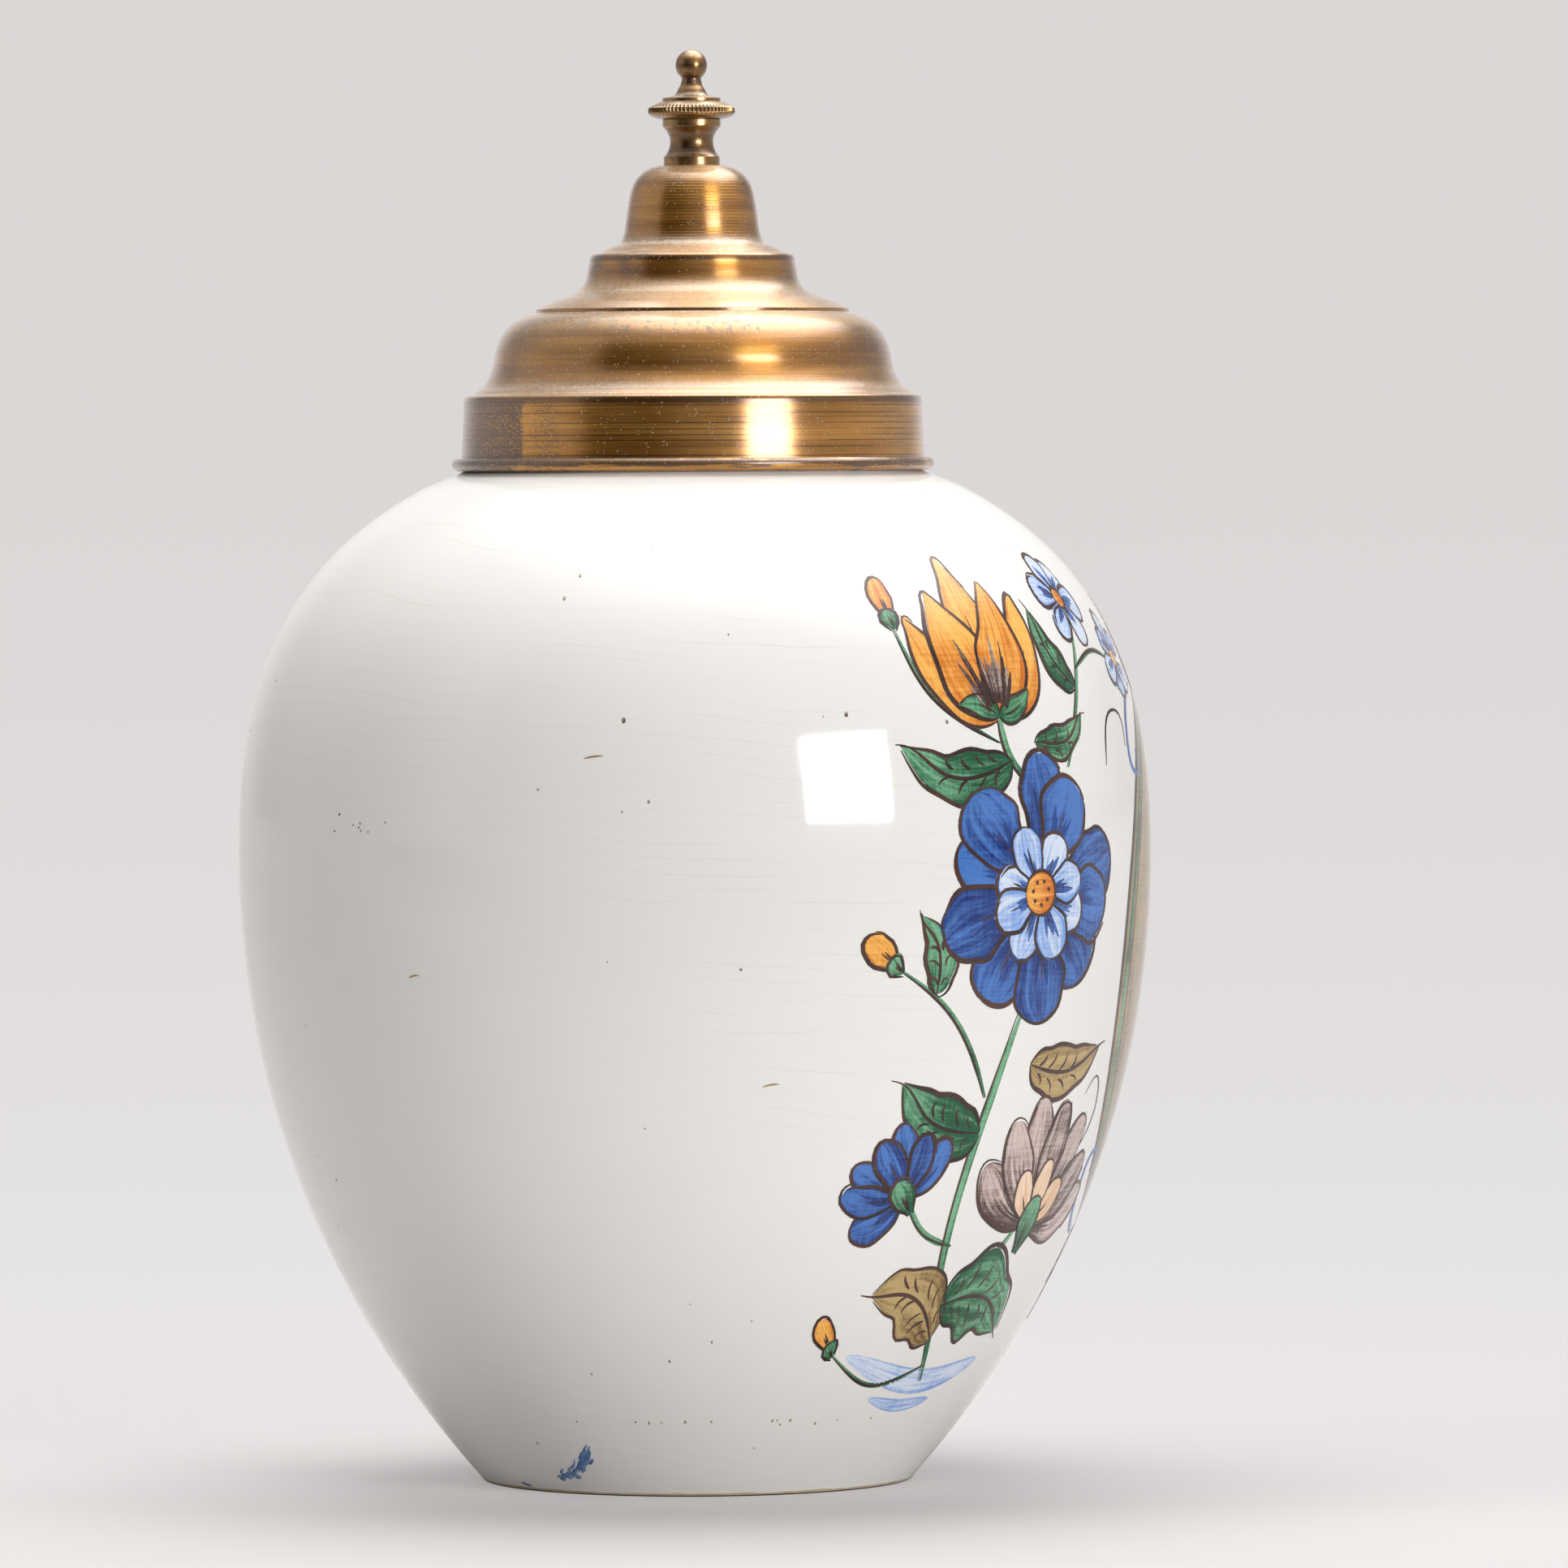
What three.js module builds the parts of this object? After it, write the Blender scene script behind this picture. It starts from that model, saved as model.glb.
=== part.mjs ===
// Tobacco jar: a thrown, tin-glazed pottery jar with a stepped lid spun from sheet brass.
//
// Millimetres, +Z up. The origin is the centre of the foot, on the table. The jar's front faces -Y.
// Every round piece is an outline of radii and heights, turned about the Z axis. The radii of the lid
// are summed outwards from its knob, and the jar's neck is then made to fit inside the lid's skirt.

import * as THREE from "three";

// Jar, outside
const footRadius = 50.3;
const footEdge = 0.8; // small bevel where the wall meets the table
const footFlare = 41.8; // degrees from upright at which the wall leaves the foot
const footPull = 35.8; // how far the wall keeps close to that slope
const bellyRadius = 105.7;
const bellyHeight = 146;
const bellyPullBelow = 70.6; // how far the wall stays near upright below the belly
const bellyPullAbove = 51.3; // and above it
const shoulderRise = 88.3; // belly to the neck's root
const shoulderSlope = 21.1; // degrees above level at which the shoulder meets the neck
const shoulderPull = 36.9;

// Jar, neck and inside
const neckFillet = 3;
const neckHeight = 13.5; // neck's root to the top of the lip
const neckWall = 5.6;
const lipRound = 2.1;
const wall = 6.5;
const floorThickness = 8;
const floorCorner = 11; // length of the rounded corner between floor and wall
const footRingWidth = 7;
const footRecess = 2.5; // the middle of the base stands this far off the table
const footRecessSlope = 1.5;

// Lid, spun from one disc of sheet brass
const sheet = 0.8;
const beadHollow = 0.7; // inside radius of the rolled rim
const beadOpening = 105; // degrees from outwards at which the rolled edge stops, just short of the skirt
const skirtTaper = 0.6;
const skirtHeight = 16; // underside of the rolled rim to the skirt's upper edge
const skirtEdge = { run: 1.65, rise: 1.5 };
const neckClearance = 4; // between the jar's neck and the inside of the skirt

// The lid's curved tiers, from the skirt up to the crown. Each runs inwards by run and up by rise. It
// leaves and arrives at angles where 90 is up and 180 is towards the axis, and its pulls say how far
// it keeps to each of them.
const skirtCove = { run: 5.5, rise: 9.3, leave: 159, leavePull: 3.8, arrive: 94, arrivePull: 3.7 };
const cushion = { run: 9.5, rise: 9.6, leave: 105, leavePull: 5, arrive: 166, arrivePull: 6.4 };
const drumCove = { run: 12.5, rise: 10.8, leave: 151, leavePull: 8.3, arrive: 94, arrivePull: 8.8 };
const ledgeCove = { run: 6.4, rise: 6.8, leave: 152, leavePull: 6, arrive: 99, arrivePull: 6 };
const dome = { run: 8.3, rise: 13.4, leave: 99, leavePull: 6.8, arrive: 172, arrivePull: 7.6 };
const lipStep = 0.8; // raised edge between the cushion and the drum's cove
const drumEdge = { run: 2, rise: 2.2 };

// Knob, stacked on a threaded stud
const crownMargin = 0.6; // flat of the crown that shows round the spool
const studRadius = 1.5;
const studChamfer = 0.4;
const studClearance = 0.3;
const spoolCollarRadius = 6.5;
const spoolCollarHeight = 1.9;
const spoolWaistRadius = 5;
const spoolWaistHeight = 5.6; // crown to the waist
const spoolHeight = 10.6;
const spoolBevel = { run: 0.6, rise: 0.7 }; // edge of the lower collar
const spoolFlute = { leave: 120, leavePull: 1, atWaist: 1.3, arrive: 50, arrivePull: 0.8 };
const headCollarRadius = 6.75; // the spool's upper collar and the plate above the milled ring
const headCollarHeight = 1.6;
const headCollarBevel = 0.4;
const runningGap = 0.05; // between the spool and the milled ring, which turns on it
const ringRadius = 9.95;
const ringHeight = 4.15;
const ringRimHeight = 1.3; // upright band that carries the milling
const ringUndercut = 1.3; // height of the edge under that band, which is rounded in two slopes
const ringUndercutFold = { run: 1.05, rise: 0.5 }; // where the two slopes meet
const ringNotches = 64;
const notchDepth = 0.4;
const plateHeight = 0.75;
const capBaseRadius = 3.6; // foot of the knob's stem, on the plate
const capCoveRise = 1.1;
const capCove = { leave: 160, leavePull: 1.2, arrive: 110, arrivePull: 0.8 };
const capStem = { leavePull: 1, arrivePull: 1.2 };
const capNeckRadius = 2.25;
const capNeckHeight = 5; // ring's top face to the stem's narrowest place
const capNeckLength = 0.4;
const ballRadius = 3.67;
const capBoreDepth = 3.2;
const studShortfall = 0.4; // between the stud's end and the bottom of the knob's bore

// Fastening inside the lid
const washerRadius = 5;
const washerThickness = 0.8;
const nutWidth = 6.5;
const nutThickness = 2.6;
const studTail = 1.2; // stud that shows below the nut

// How the lid lies on the jar
const seatGap = 0.3;

// Facets
const jarSides = 48;
const lidSides = 40;
const knobSides = 20;
const studSides = 12;

const glaze = new THREE.MeshStandardMaterial({ color: 0xdcdad4, roughness: 0.2, metalness: 0 });
const spunBrass = { color: 0xb08c50, roughness: 0.38, metalness: 1 };
const turnedBrass = { color: 0x8f6a34, roughness: 0.3, metalness: 1 };

// Outlines

const point = (radius, height) => new THREE.Vector2(radius, height);

function towards(degrees) {
  const angle = THREE.MathUtils.degToRad(degrees);
  return point(Math.cos(angle), Math.sin(angle));
}

// A smooth stretch between two points, held to an angle at each end.
function bend(start, leave, leavePull, end, arrive, arrivePull, steps) {
  const first = towards(leave).multiplyScalar(leavePull).add(start);
  const last = towards(arrive).multiplyScalar(-arrivePull).add(end);
  return new THREE.CubicBezierCurve(start, first, last, end).getPoints(steps);
}

// One of the lid's tiers, from its lower end.
function tier(start, shape, steps) {
  const end = point(start.x - shape.run, start.y + shape.rise);
  return bend(start, shape.leave, shape.leavePull, end, shape.arrive, shape.arrivePull, steps);
}

// A corner rounded off between two points.
function rounded(before, corner, after, steps) {
  return new THREE.QuadraticBezierCurve(before, corner, after).getPoints(steps);
}

// A round stretch about a centre, between two angles in degrees.
function roundAbout(centre, radius, from, to, steps) {
  const points = [];
  for (let i = 0; i <= steps; i++) {
    const angle = from + ((to - from) * i) / steps;
    points.push(towards(angle).multiplyScalar(radius).add(centre));
  }
  return points;
}

// Joins stretches into one outline, without doubled points.
function joined(...stretches) {
  const outline = [];
  for (const next of stretches.flat()) {
    const last = outline.at(-1);
    if (!last || last.distanceTo(next) > 0.02) outline.push(next);
  }
  return outline;
}

function distanceToOutline(place, outline) {
  let nearest = Infinity;
  for (let i = 1; i < outline.length; i++) {
    const along = outline[i].clone().sub(outline[i - 1]);
    const offset = place.clone().sub(outline[i - 1]);
    const share = THREE.MathUtils.clamp(offset.dot(along) / along.lengthSq(), 0, 1);
    nearest = Math.min(nearest, offset.distanceTo(along.multiplyScalar(share)));
  }
  return nearest;
}

// The same outline moved to its left by a wall's thickness. Where a tight corner would fold it over,
// the points that come too close to the outline are left out.
function leftOf(outline, thickness) {
  const moved = outline.map((place, i) => {
    const before = outline[Math.max(i - 1, 0)];
    const after = outline[Math.min(i + 1, outline.length - 1)];
    const incoming = place.clone().sub(before).normalize();
    const outgoing = after.clone().sub(place).normalize();
    const along = incoming.add(outgoing).normalize();
    const stretch = i > 0 && i < outline.length - 1 ? 1 / along.dot(outgoing) : 1;
    return point(-along.y, along.x).multiplyScalar(thickness * stretch).add(place);
  });
  return moved.filter((place) => distanceToOutline(place, outline) > thickness * 0.98);
}

// Solids

// Turns an outline about the Z axis. An outline that isn't closed on the axis is closed on itself.
function turned(outline, sides) {
  const loop = outline.slice();
  const onAxis = loop[0].x === 0 && loop.at(-1).x === 0;
  if (!onAxis) loop.push(loop[0].clone());
  if (THREE.ShapeUtils.area(outline) < 0) loop.reverse();
  return new THREE.LatheGeometry(loop, sides).rotateX(Math.PI / 2);
}

function piece(name, geometry, material) {
  const mesh = new THREE.Mesh(geometry, material);
  mesh.name = name;
  return mesh;
}

// Sizes that follow from the ones above

const spoolBore = studRadius + studClearance;
const crownRadius = spoolCollarRadius + crownMargin;
const domeFootRadius = crownRadius + dome.run;
const drumRadius = domeFootRadius + ledgeCove.run + drumEdge.run;
const lipRadius = drumRadius + drumCove.run;
const waistRadius = lipRadius + cushion.run;
const skirtTopRadius = waistRadius + skirtCove.run + skirtEdge.run;
const skirtRadius = skirtTopRadius + skirtTaper;
const beadRadius = beadHollow + sheet;
const beadCentre = point(skirtRadius + beadHollow, beadRadius);
const neckRadius = skirtTopRadius - sheet - neckClearance;
const mouthRadius = neckRadius - neckWall;

// Jar

function jarWallOutline() {
  const foot = point(footRadius, footEdge);
  const belly = point(bellyRadius, bellyHeight);
  const shoulder = point(neckRadius + neckFillet, bellyHeight + shoulderRise);
  return joined(
    bend(foot, 90 - footFlare, footPull, belly, 90, bellyPullBelow, 10),
    bend(belly, 90, bellyPullAbove, shoulder, 180 - shoulderSlope, shoulderPull, 10),
  );
}

function jarBody() {
  const outside = jarWallOutline();
  const shoulder = outside.at(-1);
  const neckRoot = point(neckRadius, shoulder.y + neckFillet);
  const lipTop = shoulder.y + neckHeight;
  const base = [
    point(0, footRecess),
    point(footRadius - footRingWidth - footRecessSlope, footRecess),
    point(footRadius - footRingWidth, 0),
    point(footRadius - footEdge, 0),
  ];
  const neckOutside = rounded(shoulder, point(neckRadius, shoulder.y), neckRoot, 3);
  const lip = [
    ...rounded(
      point(neckRadius, lipTop - lipRound),
      point(neckRadius, lipTop),
      point(neckRadius - lipRound, lipTop),
      3,
    ),
    ...rounded(
      point(mouthRadius + lipRound, lipTop),
      point(mouthRadius, lipTop),
      point(mouthRadius, lipTop - lipRound),
      3,
    ),
  ];

  // Inside, from the neck down to the floor.
  const floorTop = footRecess + floorThickness;
  const lining = leftOf(outside, wall).filter((place) => place.y > floorTop + floorCorner / 2);
  const throat = lining.pop();
  const neckInside = rounded(point(mouthRadius, shoulder.y), point(mouthRadius, throat.y), throat, 3);
  const heel = lining[0];
  const slope = lining[1].clone().sub(heel);
  const corner = point(heel.x - (slope.x * (heel.y - floorTop)) / slope.y, floorTop);
  const floorEdge = point(corner.x - floorCorner, floorTop);
  const floor = [...rounded(heel, corner, floorEdge, 3), point(0, floorTop)];

  const outline = joined(base, outside, neckOutside, lip, neckInside, lining.reverse(), floor);
  return turned(outline, jarSides);
}

// The height at which a bead of this radius, centred on this distance from the axis, lies on the
// jar's shoulder with the seat's gap below it.
function seatHeight(centreRadius, reach) {
  const shoulder = jarWallOutline();
  let low = bellyHeight;
  let high = bellyHeight + shoulderRise + reach * 2;
  for (let i = 0; i < 40; i++) {
    const middle = (low + high) / 2;
    const outside = centreRadius > shoulderRadiusAt(shoulder, middle);
    const clear = outside && distanceToOutline(point(centreRadius, middle), shoulder) > reach;
    if (clear) high = middle;
    else low = middle;
  }
  return high;
}

function shoulderRadiusAt(shoulder, height) {
  for (let i = shoulder.length - 1; i > 0; i--) {
    const lower = shoulder[i - 1];
    const upper = shoulder[i];
    if (height > upper.y) return 0;
    if (height >= lower.y) {
      return THREE.MathUtils.mapLinear(height, lower.y, upper.y, lower.x, upper.x);
    }
  }
  return 0;
}

// Lid

// The face that shows, from the rolled rim's hidden edge up to the stud's hole. The sheet lies to its
// left, so the same outline moved to the left is the face that is hidden.
function lidFace() {
  const curl = roundAbout(beadCentre, beadHollow, beadOpening, -180, 7);
  const skirtTop = point(skirtTopRadius, skirtHeight);
  const skirtCorner = point(skirtTopRadius, skirtHeight + skirtEdge.rise);
  const skirtShoulder = point(skirtTopRadius - skirtEdge.run, skirtHeight + skirtEdge.rise);
  const lowerCove = tier(skirtShoulder, skirtCove, 4);
  const pillow = tier(lowerCove.at(-1), cushion, 4);
  const lip = pillow.at(-1).clone().add(point(0, lipStep));
  const upperCove = tier(lip, drumCove, 5);
  const drumTop = upperCove.at(-1);
  const drumShoulder = drumTop.clone().add(point(-drumEdge.run, drumEdge.rise));
  const ledge = tier(drumShoulder, ledgeCove, 4);
  const cap = tier(ledge.at(-1), dome, 5);
  return joined(
    curl,
    rounded(skirtTop, skirtCorner, skirtShoulder, 2),
    lowerCove,
    pillow,
    upperCove,
    rounded(drumTop, point(drumTop.x, drumShoulder.y), drumShoulder, 2),
    ledge,
    cap,
    [point(spoolBore, cap.at(-1).y)],
  );
}

function lidShell(face) {
  return turned([...face, ...leftOf(face, sheet).reverse()], lidSides);
}

// Knob

function spool() {
  const waist = point(spoolWaistRadius, spoolWaistHeight);
  const lowerEdge = point(spoolCollarRadius - spoolBevel.run, spoolCollarHeight + spoolBevel.rise);
  const headBottom = spoolHeight - headCollarHeight;
  const upperEdge = point(headCollarRadius - headCollarBevel, headBottom - headCollarBevel);
  const { leave, leavePull, atWaist, arrive, arrivePull } = spoolFlute;
  return joined(
    [point(spoolBore, 0), point(spoolCollarRadius, 0), point(spoolCollarRadius, spoolCollarHeight)],
    bend(lowerEdge, leave, leavePull, waist, 90, atWaist, 4),
    bend(waist, 90, atWaist, upperEdge, arrive, arrivePull, 4),
    [point(headCollarRadius, headBottom), point(headCollarRadius, spoolHeight)],
    [point(spoolBore, spoolHeight)],
  );
}

// A disc with a rounded lower edge, an upright rim cut with fine upright notches, and a slope up to
// the plate above it. Every second side of the rim is drawn in to the bottom of a notch.
function milledRing() {
  const rimTop = ringUndercut + ringRimHeight;
  const section = [
    { place: point(spoolBore, 0), milled: false },
    { place: point(headCollarRadius, 0), milled: false },
    { place: point(ringRadius - ringUndercutFold.run, ringUndercutFold.rise), milled: false },
    { place: point(ringRadius, ringUndercut), milled: true },
    { place: point(ringRadius, rimTop), milled: true },
    { place: point(headCollarRadius, ringHeight), milled: false },
    { place: point(spoolBore, ringHeight), milled: false },
  ];
  const sides = ringNotches * 2;
  const positions = [];
  const faces = [];
  for (let side = 0; side < sides; side++) {
    const angle = (side / sides) * Math.PI * 2;
    const depth = side % 2 ? notchDepth : 0;
    for (const { place, milled } of section) {
      const radius = place.x - (milled ? depth : 0);
      positions.push(Math.cos(angle) * radius, Math.sin(angle) * radius, place.y);
    }
  }
  const corner = (side, i) => (side % sides) * section.length + (i % section.length);
  for (let side = 0; side < sides; side++) {
    for (let i = 0; i < section.length; i++) {
      faces.push(corner(side, i), corner(side + 1, i), corner(side + 1, i + 1));
      faces.push(corner(side, i), corner(side + 1, i + 1), corner(side, i + 1));
    }
  }
  const geometry = new THREE.BufferGeometry();
  geometry.setAttribute("position", new THREE.Float32BufferAttribute(positions, 3));
  geometry.setIndex(faces);
  geometry.computeVertexNormals();
  return geometry;
}

// Plate, cushion-shaped foot, stem and ball, with a blind bore for the stud.
function knobCap() {
  const neck = point(capNeckRadius, capNeckHeight);
  const ballStart = Math.acos(capNeckRadius / ballRadius);
  const ballHeight = capNeckHeight + capNeckLength + ballRadius * Math.sin(ballStart);
  const ballCentre = point(0, ballHeight);
  const plateEdge = point(headCollarRadius - headCollarBevel, plateHeight);
  const stemFoot = point(capBaseRadius, plateHeight + capCoveRise);
  return joined(
    [point(0, capBoreDepth), point(spoolBore, capBoreDepth), point(spoolBore, 0)],
    [point(headCollarRadius, 0), point(headCollarRadius, plateHeight)],
    bend(plateEdge, capCove.leave, capCove.leavePull, stemFoot, capCove.arrive, capCove.arrivePull, 3),
    bend(stemFoot, capCove.arrive, capStem.leavePull, neck, 90, capStem.arrivePull, 3),
    roundAbout(ballCentre, ballRadius, -THREE.MathUtils.radToDeg(ballStart), 84, 7),
    [point(0, ballHeight + ballRadius)],
  );
}

function stud(length) {
  return [
    point(0, 0),
    point(studRadius - studChamfer, 0),
    point(studRadius, studChamfer),
    point(studRadius, length - studChamfer),
    point(studRadius - studChamfer, length),
    point(0, length),
  ];
}

function washer() {
  return [
    point(spoolBore, 0),
    point(washerRadius, 0),
    point(washerRadius, washerThickness),
    point(spoolBore, washerThickness),
  ];
}

function squareNut() {
  const half = nutWidth / 2;
  const outline = new THREE.Shape();
  outline.moveTo(-half, -half).lineTo(half, -half).lineTo(half, half).lineTo(-half, half);
  outline.holes.push(new THREE.Path().absarc(0, 0, spoolBore, 0, Math.PI * 2, true));
  return new THREE.ExtrudeGeometry(outline, {
    depth: nutThickness,
    bevelEnabled: false,
    curveSegments: studSides,
  });
}

// Assembly

const jar = new THREE.Group();
jar.add(piece("jar_body", jarBody(), glaze));

const face = lidFace();
const crownHeight = face.at(-1).y;
const lid = new THREE.Group();
lid.position.z = seatHeight(beadCentre.x, beadRadius + seatGap) - beadCentre.y;
lid.add(piece("lid_shell", lidShell(face), new THREE.MeshStandardMaterial(spunBrass)));
jar.add(lid);

const finialSpool = piece(
  "finial_spool",
  turned(spool(), knobSides),
  new THREE.MeshStandardMaterial(turnedBrass),
);
finialSpool.position.z = crownHeight;
lid.add(finialSpool);

const washerBottom = crownHeight - sheet - washerThickness;
const lidWasher = piece(
  "lid_washer",
  turned(washer(), knobSides),
  new THREE.MeshStandardMaterial(spunBrass),
);
lidWasher.position.z = washerBottom;
lid.add(lidWasher);

const lidNut = piece("lid_nut", squareNut(), new THREE.MeshStandardMaterial(turnedBrass));
lidNut.position.z = washerBottom - nutThickness;
lid.add(lidNut);

const knob = new THREE.Group();
knob.position.z = crownHeight + spoolHeight + runningGap;
knob.add(piece("finial_milled_ring", milledRing(), new THREE.MeshStandardMaterial(turnedBrass)));
const finialKnob = piece(
  "finial_knob",
  turned(knobCap(), knobSides),
  new THREE.MeshStandardMaterial(turnedBrass),
);
finialKnob.position.z = ringHeight;
knob.add(finialKnob);
lid.add(knob);

const studBottom = lidNut.position.z - studTail;
const studTop = knob.position.z + finialKnob.position.z + capBoreDepth - studShortfall;
const finialStud = piece(
  "finial_stud",
  turned(stud(studTop - studBottom), studSides),
  new THREE.MeshStandardMaterial(turnedBrass),
);
finialStud.position.z = studBottom;
lid.add(finialStud);

export default jar;
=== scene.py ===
# %% [markdown]
# # A pottery tobacco jar with a spun brass lid
# The real thing is a thrown clay jar under an opaque white glaze, painted by hand before firing, with a
# loose lid spun from one disc of brass and a small turned knob. The solids of every piece come from a CAD
# model that is loaded here as a fixed frame. They could be shown as they are, but their facets are coarse,
# so each piece is built again from its own outline with a surface fine enough for reflections.

# %% Load the frame
import math
import random
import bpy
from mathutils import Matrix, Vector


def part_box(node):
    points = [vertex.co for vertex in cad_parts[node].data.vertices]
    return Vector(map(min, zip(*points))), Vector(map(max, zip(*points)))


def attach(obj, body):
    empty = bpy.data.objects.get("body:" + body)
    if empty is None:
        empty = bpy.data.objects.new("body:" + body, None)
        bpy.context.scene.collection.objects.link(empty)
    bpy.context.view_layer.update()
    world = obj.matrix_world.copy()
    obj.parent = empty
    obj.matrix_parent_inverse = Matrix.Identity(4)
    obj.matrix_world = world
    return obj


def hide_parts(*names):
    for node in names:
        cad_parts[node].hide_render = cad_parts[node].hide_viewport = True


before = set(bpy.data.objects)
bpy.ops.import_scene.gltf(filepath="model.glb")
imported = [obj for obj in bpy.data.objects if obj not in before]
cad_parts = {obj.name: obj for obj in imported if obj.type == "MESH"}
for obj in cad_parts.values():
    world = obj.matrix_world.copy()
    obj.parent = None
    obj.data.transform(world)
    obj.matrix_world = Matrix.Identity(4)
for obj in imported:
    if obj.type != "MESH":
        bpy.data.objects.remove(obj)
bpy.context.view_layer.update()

from types import SimpleNamespace

import bmesh
import bpy
import numpy as np
from mathutils import Quaternion, Vector

MM = 0.001
print("pieces in the frame:", ", ".join(sorted(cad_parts)))

# %% [markdown]
# ## The camera
# The jar was photographed with a long lens from a little above its lid's rim. A long lens could be faked
# with an orthographic camera, but then the foot would lose its slight curve, so the camera stands at the
# distance that gives that curve its height. The painted front faces -Y and points to the right in the
# picture, so the camera stands on the -X side.

# %% Camera
FOCAL_PIXELS = 14000.0
PICTURE_PIXELS = 1932.0
SENSOR_WIDTH = 36.0
CAMERA_DISTANCE = 2629 * MM
EYE_HEIGHT = 238 * MM
AIM = Vector((0.0, -20.7 * MM, 160.7 * MM))
CAMERA_ROLL = math.radians(-0.25)

camera_data = bpy.data.cameras.new("camera")
camera_data.sensor_width = SENSOR_WIDTH
camera_data.lens = FOCAL_PIXELS / PICTURE_PIXELS * SENSOR_WIDTH
camera = bpy.data.objects.new("camera", camera_data)
bpy.context.scene.collection.objects.link(camera)
camera.location = (-CAMERA_DISTANCE, 0.0, EYE_HEIGHT)
camera.rotation_mode = "QUATERNION"
level_view = (AIM - camera.location).to_track_quat("-Z", "Y")
camera.rotation_quaternion = level_view @ Quaternion((0.0, 0.0, 1.0), CAMERA_ROLL)
bpy.context.scene.camera = camera
bpy.context.scene.view_settings.view_transform = "Standard"
print("lens", round(camera_data.lens, 1), "mm")

# %% [markdown]
# ## Nodes in few words
# Shaders are made of many small nodes. Each could be added and linked by hand, but two helpers, one that
# adds a node with its inputs filled in and one that links or sets a socket, keep the recipes short enough
# to read. Colours are read off a screen, where half of the light is a step of 188 and not of 128, so they
# are turned into amounts of light first.

# %% Add a node
def linear(red, green, blue):
    """A colour read off a screen, 0 to 255, as the linear colour that a shader works in."""
    def channel(value):
        value /= 255
        return value / 12.92 if value <= 0.04045 else ((value + 0.055) / 1.055) ** 2.4

    return (channel(red), channel(green), channel(blue), 1.0)


def connect(tree, socket, value):
    """Links an output to a socket, or sets the socket to a plain value."""
    if isinstance(value, bpy.types.NodeSocket):
        tree.links.new(value, socket)
    else:
        socket.default_value = value


def add(tree, kind, inputs=None, **settings):
    """Adds a shader node with its settings, and fills its input sockets by name or number."""
    made = tree.nodes.new("ShaderNode" + kind)
    for name, value in settings.items():
        setattr(made, name, value)
    for name, value in (inputs or {}).items():
        connect(tree, made.inputs[name], value)
    return made


print("a step of 188 is", round(linear(188, 188, 188)[0], 2), "of full light")

# %% [markdown]
# ## Sums and ranges
# Most of a shader is arithmetic on values that change over a surface. It could be one long row of Math
# nodes, but named steps say what a value means: a product of shares, what is left of 1, or the part of a
# noise between two levels, which is how a soft cloud becomes a patch with an edge.

# %% Work with values
def calc(tree, operation, first, second=0.0, third=0.0, clamp=False):
    """One sum of two or three values."""
    values = {0: first, 1: second, 2: third}
    return add(tree, "Math", values, operation=operation, use_clamp=clamp).outputs[0]


def times(tree, first, *others):
    """A product of values."""
    for other in others:
        first = calc(tree, "MULTIPLY", first, other)
    return first


def plus(tree, first, *others):
    """A sum of values."""
    for other in others:
        first = calc(tree, "ADD", first, other)
    return first


def rest_of(tree, value):
    """What is left of 1 when a value is taken away."""
    return calc(tree, "SUBTRACT", 1.0, value)


def remap(tree, value, low, high, to_low=0.0, to_high=1.0):
    """Stretches the part of a value between low and high, with soft ends."""
    inputs = {"Value": value, "From Min": low, "From Max": high, "To Min": to_low, "To Max": to_high}
    return add(tree, "MapRange", inputs, interpolation_type="SMOOTHSTEP").outputs["Result"]


def window(tree, value, low, high, soft):
    """1 where a value lies between low and high, with soft ends."""
    rise = remap(tree, value, low - soft / 2, low + soft / 2)
    fall = remap(tree, value, high + soft / 2, high - soft / 2)
    return times(tree, rise, fall)


def mix(tree, factor, first, second):
    """Mixes two colours."""
    made = add(tree, "Mix", data_type="RGBA", blend_type="MIX")
    connect(tree, made.inputs[0], factor)
    connect(tree, made.inputs[6], first)
    connect(tree, made.inputs[7], second)
    return made.outputs[2]


print("value helpers:", ", ".join(f.__name__ for f in (calc, times, plus, rest_of, remap, window, mix)))

# %% [markdown]
# ## Patterns
# Age and handwork leave clouds, grains and lines. Each could be a picture laid on the surface, but then it
# would have a fixed size and a seam. Here they come from noise, which fills space and needs neither, and
# from Voronoi cells, which scatter points. Stretching the space that a noise is read from turns its blobs
# into streaks.

# %% Noise and cells
def parts_of(tree, vector):
    """The three numbers of a vector."""
    return add(tree, "SeparateXYZ", {0: vector}).outputs


def vector_of(tree, first, second, third=0.0):
    """A vector made of three numbers."""
    return add(tree, "CombineXYZ", {0: first, 1: second, 2: third}).outputs[0]


def stretched(tree, vector, scale):
    """A vector scaled by a different amount along each axis."""
    return add(tree, "Mapping", {"Vector": vector, "Scale": scale}).outputs["Vector"]


def noise(tree, vector, scale, detail=2.0, roughness=0.5):
    """Cloudy values between 0 and 1."""
    inputs = {"Vector": vector, "Scale": scale, "Detail": detail, "Roughness": roughness}
    return add(tree, "TexNoise", inputs).outputs["Fac"]


def scattered(tree, vector, scale):
    """The distance to the nearest of many scattered points, and three random numbers of that point."""
    cells = add(tree, "TexVoronoi", {"Vector": vector, "Scale": scale}, feature="F1").outputs
    return cells["Distance"], add(tree, "SeparateColor", {0: cells["Color"]}).outputs


def from_cut(tree, count):
    """The distance to the nearest of a row of lines, which lie unevenly, about one to each count."""
    inputs = {"W": count, "Scale": 1.0}
    cells = add(tree, "TexVoronoi", inputs, voronoi_dimensions="1D", feature="DISTANCE_TO_EDGE")
    return cells.outputs["Distance"]


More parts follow.
